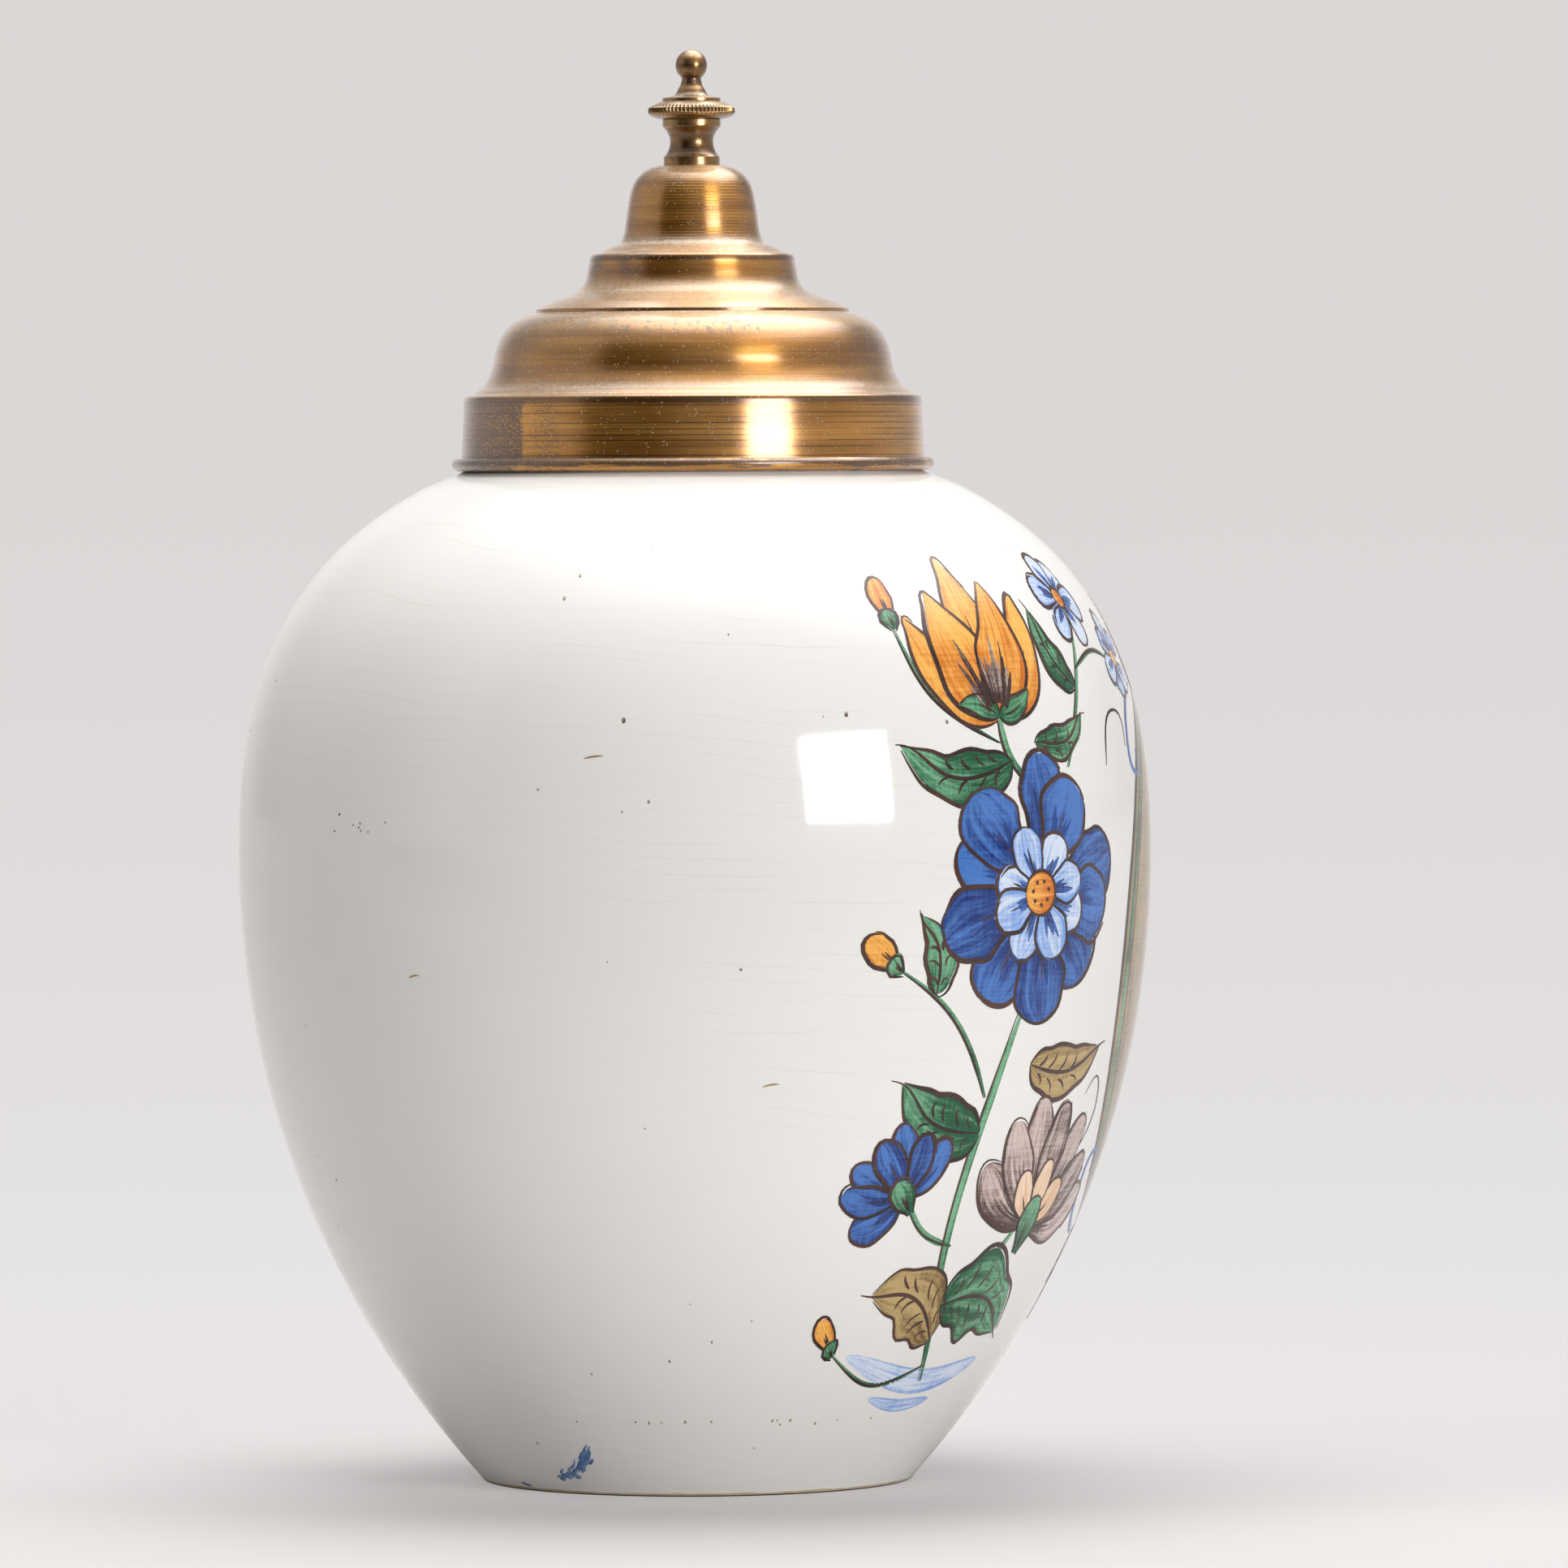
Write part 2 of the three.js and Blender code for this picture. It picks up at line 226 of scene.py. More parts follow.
print("pattern helpers:", ", ".join(f.__name__ for f in (stretched, noise, scattered, from_cut)))

# %% [markdown]
# ## Groups and materials
# An effect that several finishes share is drawn once, as a node group. It could be copied into each
# material, but then a change would have to be made in each. What the group has to know comes in through
# named sockets, so that every material can set its own values there.

# %% Start a group or a material
def group(name, inputs, outputs):
    """Starts a node group with named sockets. Gives the tree, its inputs and where its outputs go."""
    tree = bpy.data.node_groups.new(name, "ShaderNodeTree")
    for title, kind, value in inputs:
        socket = tree.interface.new_socket(title, in_out="INPUT", socket_type="NodeSocket" + kind)
        if value is not None:
            socket.default_value = value
    for title in outputs:
        tree.interface.new_socket(title, in_out="OUTPUT", socket_type="NodeSocketFloat")
    entry = tree.nodes.new("NodeGroupInput")
    exit_node = tree.nodes.new("NodeGroupOutput")
    return tree, entry.outputs, exit_node.inputs


def use(tree, name, inputs):
    """Places a node group in a material, with its own values."""
    made = tree.nodes.new("ShaderNodeGroup")
    made.node_tree = bpy.data.node_groups[name]
    for title, value in inputs.items():
        connect(tree, made.inputs[title], value)
    return made.outputs


def material(name):
    """Starts a material. Gives it, its tree and its Principled shader."""
    made = bpy.data.materials.new(name)
    made.use_nodes = True
    shader = made.node_tree.nodes["Principled BSDF"]
    return made, made.node_tree, shader


print("group and material helpers:", ", ".join(f.__name__ for f in (group, use, material)))

# %% [markdown]
# ## What a surface knows about itself
# Paint and dirt have to know where they are. A picture would need the surface unwrapped for that. Here a
# shader asks for three things that are there already: where the shaded point lies, how far it faces up,
# and a number or vector that was stored at the mesh's vertices.

# %% Ask the surface
def object_place(tree):
    """Where a shaded point lies in the piece's own frame, in metres."""
    return add(tree, "TexCoord").outputs["Object"]


def facing_up(tree):
    """How far a shaded point faces up: 1 on a level top, 0 on an upright wall."""
    return parts_of(tree, add(tree, "NewGeometry").outputs["Normal"])[2]


def carried(tree, name, socket="Fac"):
    """A number or a vector that the mesh carries at its vertices."""
    return add(tree, "Attribute", attribute_name=name).outputs[socket]


def bump(tree, height, distance):
    """A bump of a height in the range 0 to 1, which stands for a distance in metres."""
    return add(tree, "Bump", {"Height": height, "Strength": 1.0, "Distance": distance}).outputs["Normal"]


print("surface helpers:", ", ".join(f.__name__ for f in (object_place, facing_up, carried, bump)))

# %% [markdown]
# ## Outlines
# Nearly all of the pieces are round about the Z axis. A round piece is one outline of radii and heights,
# turned about the axis. The outline could be typed in again, but the frame already holds it: the vertices
# of a CAD piece that lie in the plane y = 0 are its outline. It is read from there by walking from vertex
# to vertex along the edges.

# %% Read an outline from the frame
SAME_POINT = 0.001 * MM
IN_PLANE = 0.002 * MM


def signed_area(rows):
    """Twice the area inside an outline, positive if it runs anticlockwise."""
    after = np.roll(rows, -1, axis=0)
    return float(np.sum(rows[:, 0] * after[:, 1] - after[:, 0] * rows[:, 1]))


def outline_of(node):
    """A turned piece's half outline, in millimetres, as (radius, height) rows that run anticlockwise."""
    solid = bmesh.new()
    solid.from_mesh(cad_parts[node].data)
    bmesh.ops.remove_doubles(solid, verts=solid.verts, dist=SAME_POINT)
    section = [v for v in solid.verts if abs(v.co.y) < IN_PLANE and v.co.x > -IN_PLANE]
    on_axis = [v for v in section if v.co.x < IN_PLANE]
    closed = not on_axis
    current = min(on_axis or section, key=lambda v: v.co.z)
    walk = [current]
    while current is not None:
        near = [e.other_vert(current) for e in current.link_edges]
        current = next((v for v in near if v in section and v not in walk), None)
        if current is not None:
            walk.append(current)
    rows = np.array([(max(v.co.x, 0.0), v.co.z) for v in walk]) / MM
    solid.free()
    if signed_area(rows) < 0:
        rows = rows[::-1]
    return rows, closed


for name in ("jar_body", "lid_shell", "finial_spool", "finial_knob"):
    rows, closed = outline_of(name)
    print(name, "outline of", len(rows), "points,", "closed" if closed else "from axis to axis")

# %% [markdown]
# ## Smooth lines
# The frame's outline has a point only where its shape needs one, so a piece turned from it would show
# flat bands. It could be subdivided, but subdivision pulls the form inwards. A spline goes through every
# point instead, as a thin ruler bends round pins. The same line serves later for brush strokes.

# %% Bend a line through points
def step_lengths(points):
    """How far each point of a line lies from the one before it."""
    return np.hypot(*np.diff(points, axis=0).T)


def unit(directions):
    """Directions as rows, each of length 1."""
    return directions / np.hypot(*directions.T)[:, None]


def bending_at(points, steps):
    """How strongly a thin ruler bends at each of the pins that it goes round. Its ends are straight."""
    count = len(points)
    system = np.eye(count)
    right_side = np.zeros((count, 2))
    for i in range(1, count - 1):
        before, after = steps[i - 1], steps[i]
        system[i, i - 1:i + 2] = before, 2 * (before + after), after
        slope_after = (points[i + 1] - points[i]) / after
        slope_before = (points[i] - points[i - 1]) / before
        right_side[i] = 6 * (slope_after - slope_before)
    return np.linalg.solve(system, right_side)


def bent(points, pitch, widest_turn=8.0):
    """A smooth line through points, with its directions. It is finer where it bends more."""
    points = np.asarray(points, float)
    steps = step_lengths(points)
    bending = bending_at(points, steps)
    places, directions = [], []
    for i, step in enumerate(steps):
        start, end = points[i], points[i + 1]
        bend_start, bend_end = bending[i], bending[i + 1]
        slope = (end - start) / step
        turn = np.degrees(np.hypot(*(bend_start + bend_end)) * step / 2)
        parts = max(1, math.ceil(step / pitch), math.ceil(turn / widest_turn))
        is_last = i == len(steps) - 1
        for k in range(parts + is_last):
            done = step * k / parts
            left = step - done
            cubes = (bend_start * left**3 + bend_end * done**3) / (6 * step)
            from_start = (start / step - bend_start * step / 6) * left
            from_end = (end / step - bend_end * step / 6) * done
            places.append(cubes + (from_start + from_end))
            pull = (bend_end * done**2 - bend_start * left**2) / (2 * step)
            directions.append(pull + slope - (bend_end - bend_start) * step / 6)
    return np.array(places), unit(np.array(directions))


quarter = [(math.cos(a), math.sin(a)) for a in np.linspace(0, math.pi / 2, 7)]
stray = np.abs(np.hypot(*bent(quarter, 0.02)[0].T) - 1).max()
print(f"a line bent round 7 pins on a quarter circle strays by {stray:.4f} of its radius")

# %% [markdown]
# ## Corners
# A spline would swing through a sharp corner like the edge of a foot ring. It could be given two close
# points there, but it would still overshoot. So the outline is cut at its corners, each run between them
# is bent on its own, and a small curve of a tenth of a millimetre or a little more joins them. No real
# edge is perfectly sharp, and that eased edge is what catches a thin line of light.

# %% Refine a whole outline
def turn_between(first, second):
    """The angle from each row's first direction to its second, in radians, positive to the left."""
    cross = first[:, 0] * second[:, 1] - first[:, 1] * second[:, 0]
    return np.arctan2(cross, np.sum(first * second, axis=1))


def turn_angles(rows):
    """How far an outline turns at each of its points, in degrees, positive at an outer corner."""
    before = rows - np.roll(rows, 1, axis=0)
    after = np.roll(rows, -1, axis=0) - rows
    return np.degrees(turn_between(before, after))


def supported(points):
    """Adds points near the ends of the long straight parts, so that a spline leaves them straight."""
    steps = step_lengths(points)
    kept = [points[0]]
    for i, step in enumerate(steps):
        start, end = points[i], points[i + 1]
        if i > 0 and step > 2 * steps[i - 1]:
            kept.append(start + (end - start) * steps[i - 1] / step)
        if i < len(steps) - 1 and step > 2 * steps[i + 1]:
            kept.append(end - (end - start) * steps[i + 1] / step)
        kept.append(end)
    return np.array(kept)


def shortened(step, ease):
    """How far a run draws back from its corner, along its first or last step."""
    length = np.hypot(*step)
    return step / length * min(ease, length / 3)


def eased_corner(start, corner, end):
    """Two points and directions on the small curve that eases a corner."""
    shares = np.array([[1 / 3], [2 / 3]])
    places = start * (1 - shares) ** 2 + 2 * corner * shares * (1 - shares) + end * shares**2
    return places, unit((corner - start) * (1 - shares) + (end - corner) * shares)


def refined(outline, pitch, sharp=60.0, ease=0.15):
    """A smooth, fine copy of an outline: its points, and which way its surface faces at each."""
    rows, closed = outline
    corner = np.abs(turn_angles(rows)) > sharp
    if closed:
        first = int(np.argmax(corner))
        rows = np.roll(rows, -first, axis=0)
        corner = np.roll(corner, -first)
        rows = np.vstack([rows, rows[:1]])
        corner = np.append(corner, True)
    corner[0] = corner[-1] = True
    stops = np.flatnonzero(corner)
    runs = []
    for start, stop in zip(stops[:-1], stops[1:]):
        run = rows[start:stop + 1].copy()
        first_step, last_step = run[1] - run[0], run[-1] - run[-2]
        if closed or start > 0:
            run[0] += shortened(first_step, ease)
        if closed or stop < len(rows) - 1:
            run[-1] -= shortened(last_step, ease)
        smooth = bent(supported(run), pitch)
        if runs:
            runs.append(eased_corner(runs[-1][0][-1], rows[start], smooth[0][0]))
        runs.append(smooth)
    if closed:
        runs.append(eased_corner(runs[-1][0][-1], rows[0], runs[0][0][0]))
    places = np.vstack([run[0] for run in runs])
    directions = np.vstack([run[1] for run in runs])
    return places, np.column_stack([directions[:, 1], -directions[:, 0]])


print("the knob's outline now has", len(refined(outline_of("finial_knob"), 0.25, 38, 0.1)[0]), "points")

# %% [markdown]
# ## A mesh with numbers at its vertices
# Every piece below ends up as a list of vertices and faces. Blender's own objects could be shaped by
# modifiers, but a mesh made from lists can carry extra numbers, which the shaders read, and exact normals,
# which keep a flat face flat up to its eased edge.

# %% Make a piece
def piece(name, vertices, faces, normals=None, spread=None):
    """Makes an object of vertices in metres, smooth, with its own normals and numbers at its vertices."""
    vertices = np.asarray(vertices, float)
    used = np.unique(np.concatenate([np.asarray(f) for f in faces]))
    fresh = np.full(len(vertices), -1)
    fresh[used] = np.arange(len(used))
    mesh = bpy.data.meshes.new(name)
    mesh.from_pydata(vertices[used].tolist(), [], [fresh[np.asarray(f)].tolist() for f in faces])
    mesh.shade_smooth()
    for title, values in (spread or {}).items():
        values = np.asarray(values, np.float32)[used]
        if values.ndim == 2:
            store = mesh.attributes.new(title, "FLOAT_VECTOR", "POINT")
            store.data.foreach_set("vector", values.ravel())
        else:
            store = mesh.attributes.new(title, "FLOAT", "POINT")
            store.data.foreach_set("value", values)
    if normals is not None:
        mesh.normals_split_custom_set_from_vertices(np.asarray(normals)[used].tolist())
    made = bpy.data.objects.new(name, mesh)
    bpy.context.scene.collection.objects.link(made)
    return made


def fit(made, body, slot, finish, *nodes):
    """Lets a piece ride on its body, in its finish, in place of its CAD nodes."""
    made.data.materials.append(finish)
    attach(made, body)
    if nodes:
        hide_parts(*nodes)
    low, high = np.array(made.bound_box).min(0), np.array(made.bound_box).max(0)
    size = (high - low) / MM
    print(f"{made.name}: {len(made.data.polygons)} faces, {size[0]:.1f} x {size[1]:.1f} x {size[2]:.1f} mm")


print("mesh helpers:", ", ".join(f.__name__ for f in (piece, fit)))

# %% [markdown]
# ## Edges that know that they are edges
# Brass is worn bright where hands touch its edges, and dull where a cloth can't reach. A shader can't see
# which is which. It could be given a painted mask, but an outline already knows how sharply it bends, so
# that is kept with every vertex, next to how far along the outline the vertex lies. The second number is
# what the maker's tool followed, and its ring-shaped marks are drawn from it.

# %% Turn an outline into a piece
BEND_REACH = 0.7
FULL_BEND = 0.9
SHAPED_EDGE = 1.6


def bends(places, facing, closed):
    """How sharply an outline bends near each point: 1 at a sharp outer edge, -1 in a sharp hollow."""
    steps = np.hypot(*(np.roll(places, -1, axis=0) - places).T)
    turn = turn_between(facing, np.roll(facing, -1, axis=0))
    if not closed:
        turn[-1] = 0
    along = np.concatenate([[0], np.cumsum(steps)[:-1]])
    gap = np.abs(along[:, None] - (along + steps / 2)[None, :])
    if closed:
        gap = np.minimum(gap, steps.sum() - gap)
    near = np.exp(-((gap / BEND_REACH) ** 2) / 2)
    return np.tanh(near @ turn / FULL_BEND), along


def swept(outward, upward, angles):
    """Rows of x, y and z for what reaches outward and upward at each angle round the axis."""
    level = np.broadcast_to(upward, outward.shape)
    return np.stack([outward * np.cos(angles), outward * np.sin(angles), level], axis=2).reshape(-1, 3)


def ring_faces(rings, sides, closed):
    """The faces between the rings of a turned piece. They are triangles where it meets the axis."""
    numbers = np.arange(rings * sides).reshape(rings, sides)
    if not closed:
        numbers[0, :] = numbers[0, 0]
        numbers[-1, :] = numbers[-1, 0]
    uppers = list(range(1, rings)) + ([0] if closed else [])
    faces = []
    for lower, upper in enumerate(uppers):
        for k in range(sides):
            after = (k + 1) % sides
            corners = (numbers[lower, k], numbers[lower, after], numbers[upper, after], numbers[upper, k])
            faces.append(list(dict.fromkeys(int(corner) for corner in corners)))
    return faces


def turned(name, outline, sides, pitch=1.0, sharp=60.0, ease=0.15, shape=None):
    """Turns an outline, in millimetres, about the Z axis. Shape may move a ring's radii at each angle."""
    places, facing = refined(outline, pitch, sharp, ease)
    closed = outline[1]
    edge, along = bends(places, facing, closed)
    angles = np.arange(sides) * 2 * np.pi / sides
    radii = np.repeat(places[:, :1], sides, axis=1)
    edges = np.repeat(edge[:, None], sides, axis=1)
    normals = swept(np.repeat(facing[:, :1], sides, axis=1), facing[:, 1:], angles)
    if shape is not None:
        shaped = shape(radii, places[:, 1:], angles[None, :])
        moved = shaped - radii
        moved -= moved.mean(axis=1, keepdims=True)
        edges = np.clip(edges + SHAPED_EDGE * moved / np.abs(moved).max(), -1, 1)
        radii = shaped
        normals = None
    vertices = swept(radii, places[:, 1:], angles) * MM
    spread = {"edge": edges.ravel(), "along": np.repeat(along, sides)}
    return piece(name, vertices, ring_faces(len(places), sides, closed), normals, spread)


knob_edge = bends(*refined(outline_of("finial_knob"), 0.25, 38, 0.1), False)[0]
print(f"the knob bends from {knob_edge.min():.2f} in its hollows to {knob_edge.max():.2f} at its edges")

# %% [markdown]
# ## The skin of the glaze
# The glaze runs over bare white and paint alike. On the real jar it shows the shallow waves that the
# thrower's fingers left, fine pitting, and long hair-fine cracks that run round the wall. The waves could
# be modelled, but they are hundredths of a millimetre deep, so they are a bump. The cracks follow a
# wobbling height, cut into uneven bands, and each line is broken up by a noise of its own.

# %% Glaze skin
CRACKS_PER_METRE = 300.0
GLOSSIEST = 0.055
DULLEST = 0.1


def glaze_waves(tree, here):
    """The height of the glaze: shallow waves, with fine pits and finer level lines."""
    waves = noise(tree, stretched(tree, here, (7, 7, 130)), 1.0, 2.0)
    pits = noise(tree, here, 700.0, 2.0)
    level_lines = noise(tree, stretched(tree, here, (60, 60, 1500)), 1.0, 1.0)
    return plus(tree, times(tree, waves, 0.9), times(tree, pits, 0.035), times(tree, level_lines, 0.02))


def glaze_cracks(tree, here, width):
    """Long fine cracks round the wall, unevenly spaced, wobbling and broken."""
    parts = parts_of(tree, here)
    wobble = noise(tree, stretched(tree, here, (13, 13, 34)), 1.0, 3.0, 0.45)
    level = calc(tree, "MULTIPLY_ADD", wobble, 0.012, parts[2])
    slope = remap(tree, parts[2], 0.0, 0.14, -0.2, -0.06)
    level = calc(tree, "MULTIPLY_ADD", parts[1], slope, level)
    count = times(tree, level, CRACKS_PER_METRE)
    crack = rest_of(tree, remap(tree, from_cut(tree, count), 0.0, width))
    own_noise = times(tree, calc(tree, "ROUND", count), 3.7)
    own_place = vector_of(tree, times(tree, parts[0], 24.0), times(tree, parts[1], 24.0), own_noise)
    unbroken = remap(tree, noise(tree, own_place, 1.0, 2.0), 0.42, 0.6)
    region = remap(tree, noise(tree, here, 9.0, 2.0), 0.3, 0.6)
    return times(tree, crack, times(tree, unbroken, region))


def glaze_skin():
    """How high, how cracked and how dull the glaze is at each place."""
    inputs = [("Place", "Vector", None), ("Crack Width", "Float", 0.02)]
    tree, given, out = group("glaze skin", inputs, ["Height", "Cracks", "Roughness"])
    here = given["Place"]
    connect(tree, out["Height"], glaze_waves(tree, here))
    connect(tree, out["Cracks"], glaze_cracks(tree, here, given["Crack Width"]))
    dullness = noise(tree, here, 45.0, 3.0)
    connect(tree, out["Roughness"], remap(tree, dullness, 0.3, 0.7, GLOSSIEST, DULLEST))
    return tree


print("glaze skin:", len(glaze_skin().nodes), "nodes")

# %% [markdown]
# ## Ring marks
# Spinning and turning leave fine circles, a few deep ones that hold dirt, and where the tool sprang, an
# even ripple called chatter. Circles could be cut into the mesh, but they are finer than its faces. A
# noise is read here from a space whose first direction is the length along the outline, so it changes
# fast from ring to ring and slowly round each ring.

# %% Ring marks
CHATTER_PITCH = 0.72


def ring_marks():
    """Fine circles that a tool left, which follow the outline, and a few deep dark ones."""
    tree, given, out = group(
        "ring marks",
        [
            ("Place", "Vector", None),
            ("Along", "Float", 0.0),
            ("Pitch", "Float", 0.5),
            ("Deep Pitch", "Float", 1.4),
            ("Deep Width", "Float", 0.07),
        ],
        ["Height", "Deep", "Tone", "Chatter"],
    )
    along = given["Along"]
    around = stretched(tree, given["Place"], (22, 22, 22))
    parts = parts_of(tree, around)

    def on_rings(count):
        return vector_of(tree, count, parts[0], parts[1])

    steps = calc(tree, "DIVIDE", along, given["Pitch"])
    connect(tree, out["Height"], noise(tree, on_rings(steps), 1.0, 4.0, 0.6))
    wide_steps = calc(tree, "DIVIDE", along, times(tree, given["Pitch"], 7.0))
    connect(tree, out["Tone"], noise(tree, on_rings(wide_steps), 1.0, 3.0, 0.55))
    beat = calc(tree, "SINE", times(tree, along, 2 * math.pi / CHATTER_PITCH))
    connect(tree, out["Chatter"], calc(tree, "MULTIPLY_ADD", beat, 0.5, 0.5))
    drift = times(tree, noise(tree, around, 0.6, 1.0), 0.5)
    count = plus(tree, calc(tree, "DIVIDE", along, given["Deep Pitch"]), drift)
    line = rest_of(tree, remap(tree, from_cut(tree, count), 0.0, given["Deep Width"]))
    unbroken = remap(tree, noise(tree, on_rings(calc(tree, "ROUND", count)), 1.3, 4.0), 0.34, 0.56)
    connect(tree, out["Deep"], times(tree, line, unbroken))
    return tree


print("ring marks:", len(ring_marks().nodes), "nodes")

# %% [markdown]
# ## Tarnish
# Old brass browns in clouds and in small grains, hands rub it bright again along the edges, and small
# pocks are left where damp dust ate into it. One noise could stand for all of these, but they differ in
# size and in place, so each is an output of its own for the finishes to colour.

# %% Tarnish
def tarnish():
    """Clouds of brown tarnish, small grains of it, the rubbed edges that it left, and pocks."""
    inputs = [("Place", "Vector", None), ("Edge", "Float", 0.0), ("Amount", "Float", 0.5)]
    tree, given, out = group("tarnish", inputs, ["Clouds", "Grains", "Rubbed", "Pocks"])
    here = given["Place"]
    low = calc(tree, "SUBTRACT", 0.75, times(tree, given["Amount"], 0.4))
    clouds = remap(tree, noise(tree, here, 38.0, 5.0, 0.6), low, plus(tree, low, 0.25))
    connect(tree, out["Clouds"], clouds)
    distance, chances = scattered(tree, here, 2100.0)
    grains = times(tree, remap(tree, distance, 0.5, 0.3), remap(tree, chances[0], 0.42, 0.48))
    connect(tree, out["Grains"], grains)
    chips = times(tree, calc(tree, "SUBTRACT", noise(tree, here, 260.0, 3.0, 0.6), 0.5), 0.9)
    connect(tree, out["Rubbed"], remap(tree, plus(tree, given["Edge"], chips), 0.45, 0.8))
    patches = remap(tree, noise(tree, here, 55.0, 2.0), 0.4, 0.54)
    pocks = remap(tree, noise(tree, here, 640.0, 3.0, 0.65), 0.55, 0.59)
    connect(tree, out["Pocks"], times(tree, patches, pocks))
    return tree


print("tarnish:", len(tarnish().nodes), "nodes")

# %% [markdown]
# ## Dust
# Dust settles on what faces up and stays in hollows, and single motes catch the light. It could be real
# particles, but there are thousands and none is worth a mesh. The group asks how far the surface faces up
# and how hollow it is, and scatters the motes as Voronoi points of two sizes, more of them where the dust
# lies thicker.

# %% Settled dust
MOTES = ((1700.0, 0.2, 0.7), (750.0, 0.1, 0.9))


def settled_dust():
    """Dust on what faces up and in hollows, and separate bright motes."""
    inputs = [("Place", "Vector", None), ("Edge", "Float", 0.0), ("Amount", "Float", 0.5)]
    tree, given, out = group("settled dust", inputs, ["Dust", "Motes"])
    here = given["Place"]
    facing = facing_up(tree)
    hollow = times(tree, remap(tree, given["Edge"], -0.05, -0.6), remap(tree, facing, -0.1, 0.5))
    lying = remap(tree, facing, 0.3, 1.0)
    grains = remap(tree, noise(tree, here, 1100.0, 3.0, 0.7), 0.35, 0.65)
    drifts = remap(tree, noise(tree, here, 70.0, 3.0, 0.6), 0.3, 0.7)
    loose = plus(tree, times(tree, grains, 0.4), times(tree, drifts, 0.25), 0.35)
    kept = plus(tree, times(tree, lying, 0.8), times(tree, hollow, 0.7))
    dust = calc(tree, "MULTIPLY", times(tree, kept, loose), given["Amount"], clamp=True)
    connect(tree, out["Dust"], dust)
    motes = []
    for scale, size, rarity in MOTES:
        distance, chances = scattered(tree, here, scale)
        near = remap(tree, distance, size, size * 0.6)
        threshold = calc(tree, "SUBTRACT", rarity, times(tree, dust, 0.35))
        motes.append(times(tree, near, calc(tree, "GREATER_THAN", chances[0], threshold)))
    connect(tree, out["Motes"], calc(tree, "MAXIMUM", *motes))
    return tree


print("settled dust:", len(settled_dust().nodes), "nodes")

# %% [markdown]
# ## White tin glaze
# Tin makes a lead glaze opaque and milk white. It is glossy, a little greyer in clouds, and its cracks are
# painted pale low on the wall, as lines that catch the light, and brown higher up, where dirt got into them.
# The foot was wiped bare to stand in the kiln, so plain clay shows there, with a painted dark line of
# contact shadow where it meets the table. The bare foot could be a second material on its own faces, but its
# edge is ragged, so a height with some noise on it decides.

# %% The white ground and the bare foot
GLAZE_WAVE = 0.05 * MM
CRACK_WIDTH = 0.035
CRACKS_PAINTED_LIT_UP_TO = 60 * MM
BROWN_CRACKS_FROM = 110 * MM
FOOT_LINE = 0.8 * MM
FOOT_RAGGED = 0.8 * MM
# The height and softness of the dark line of painted contact shadow at the bottom of the foot.
CONTACT_SHADOW_LINE = 0.3 * MM
CONTACT_SHADOW_SOFT = 0.1 * MM


def glossy_skin(tree, shader):
    """Gives a shader the skin of the glaze, and gives back its cracks."""
    skin = use(tree, "glaze skin", {"Place": object_place(tree), "Crack Width": CRACK_WIDTH})
    connect(tree, shader.inputs["Roughness"], skin["Roughness"])
    connect(tree, shader.inputs["Normal"], bump(tree, skin["Height"], GLAZE_WAVE))
    shader.inputs["IOR"].default_value = 1.5
    return skin["Cracks"]


def white_ground(tree, here, height, cracks):
    """Milk white, grey clouds, cracks painted pale as caught light low down and brown higher up, brown
    specks.
    """
    clouds = noise(tree, stretched(tree, here, (9, 9, 22)), 1.0, 3.0)
    colour = mix(tree, clouds, linear(234, 233, 229), linear(242, 241, 237))
    browned = remap(tree, height, CRACKS_PAINTED_LIT_UP_TO, BROWN_CRACKS_FROM)
    # Painted highlight: low on the wall the cracks are pale, as lines that catch the light; higher up they
    # are brown with dirt.
    crack_colour = mix(tree, browned, linear(252, 251, 249), linear(176, 164, 148))
    crack_share = remap(tree, height, CRACKS_PAINTED_LIT_UP_TO, BROWN_CRACKS_FROM, 0.95, 0.26)
    colour = mix(tree, times(tree, cracks, crack_share), colour, crack_colour)
    distance, chances = scattered(tree, here, 90.0)
    speck = calc(tree, "LESS_THAN", distance, 0.02)
    rare = calc(tree, "GREATER_THAN", chances[1], 0.75)
    return mix(tree, times(tree, speck, rare), colour, linear(150, 138, 120))


def bare_clay(tree, here, height):
    """Pale clay, with a painted contact shadow where it meets the table."""
    clay = mix(tree, noise(tree, here, 300.0, 4.0), linear(178, 160, 128), linear(220, 210, 184))
    # Painted contact shadow: the lowest fraction of a millimetre of the foot turns nearly black.
    painted_contact_shadow = remap(tree, height, CONTACT_SHADOW_LINE + CONTACT_SHADOW_SOFT, CONTACT_SHADOW_LINE - CONTACT_SHADOW_SOFT)
    return mix(tree, painted_contact_shadow, clay, linear(46, 38, 26))


def white_glaze():
    """The jar's own finish: white glaze down to a ragged line above the foot, and clay below it."""
    made, tree, shader = material("white tin glaze")
    cracks = glossy_skin(tree, shader)
    here = object_place(tree)
    height = parts_of(tree, here)[2]
    ragged = times(tree, noise(tree, here, 120.0, 3.0), FOOT_RAGGED)
    bare = calc(tree, "LESS_THAN", height, plus(tree, ragged, FOOT_LINE - FOOT_RAGGED / 2))
    ground = white_ground(tree, here, height, cracks)
    connect(tree, shader.inputs["Base Color"], mix(tree, bare, ground, bare_clay(tree, here, height)))
    return made


glaze = white_glaze()
print(glaze.name + ":", len(glaze.node_tree.nodes), "nodes")

# %% [markdown]
# ## Stains on the lid
# The lid's skirt has a brown stain with a ragged, speckled front edge. A smear lies on the upper tier,
# with some spatter beside it, and the rolled rim is dark with old wax. Such marks could be scattered by
# noise as well, but these have their own places. Windows of height and of the angle round the lid hold
# each one where it belongs, and noise only frays it.

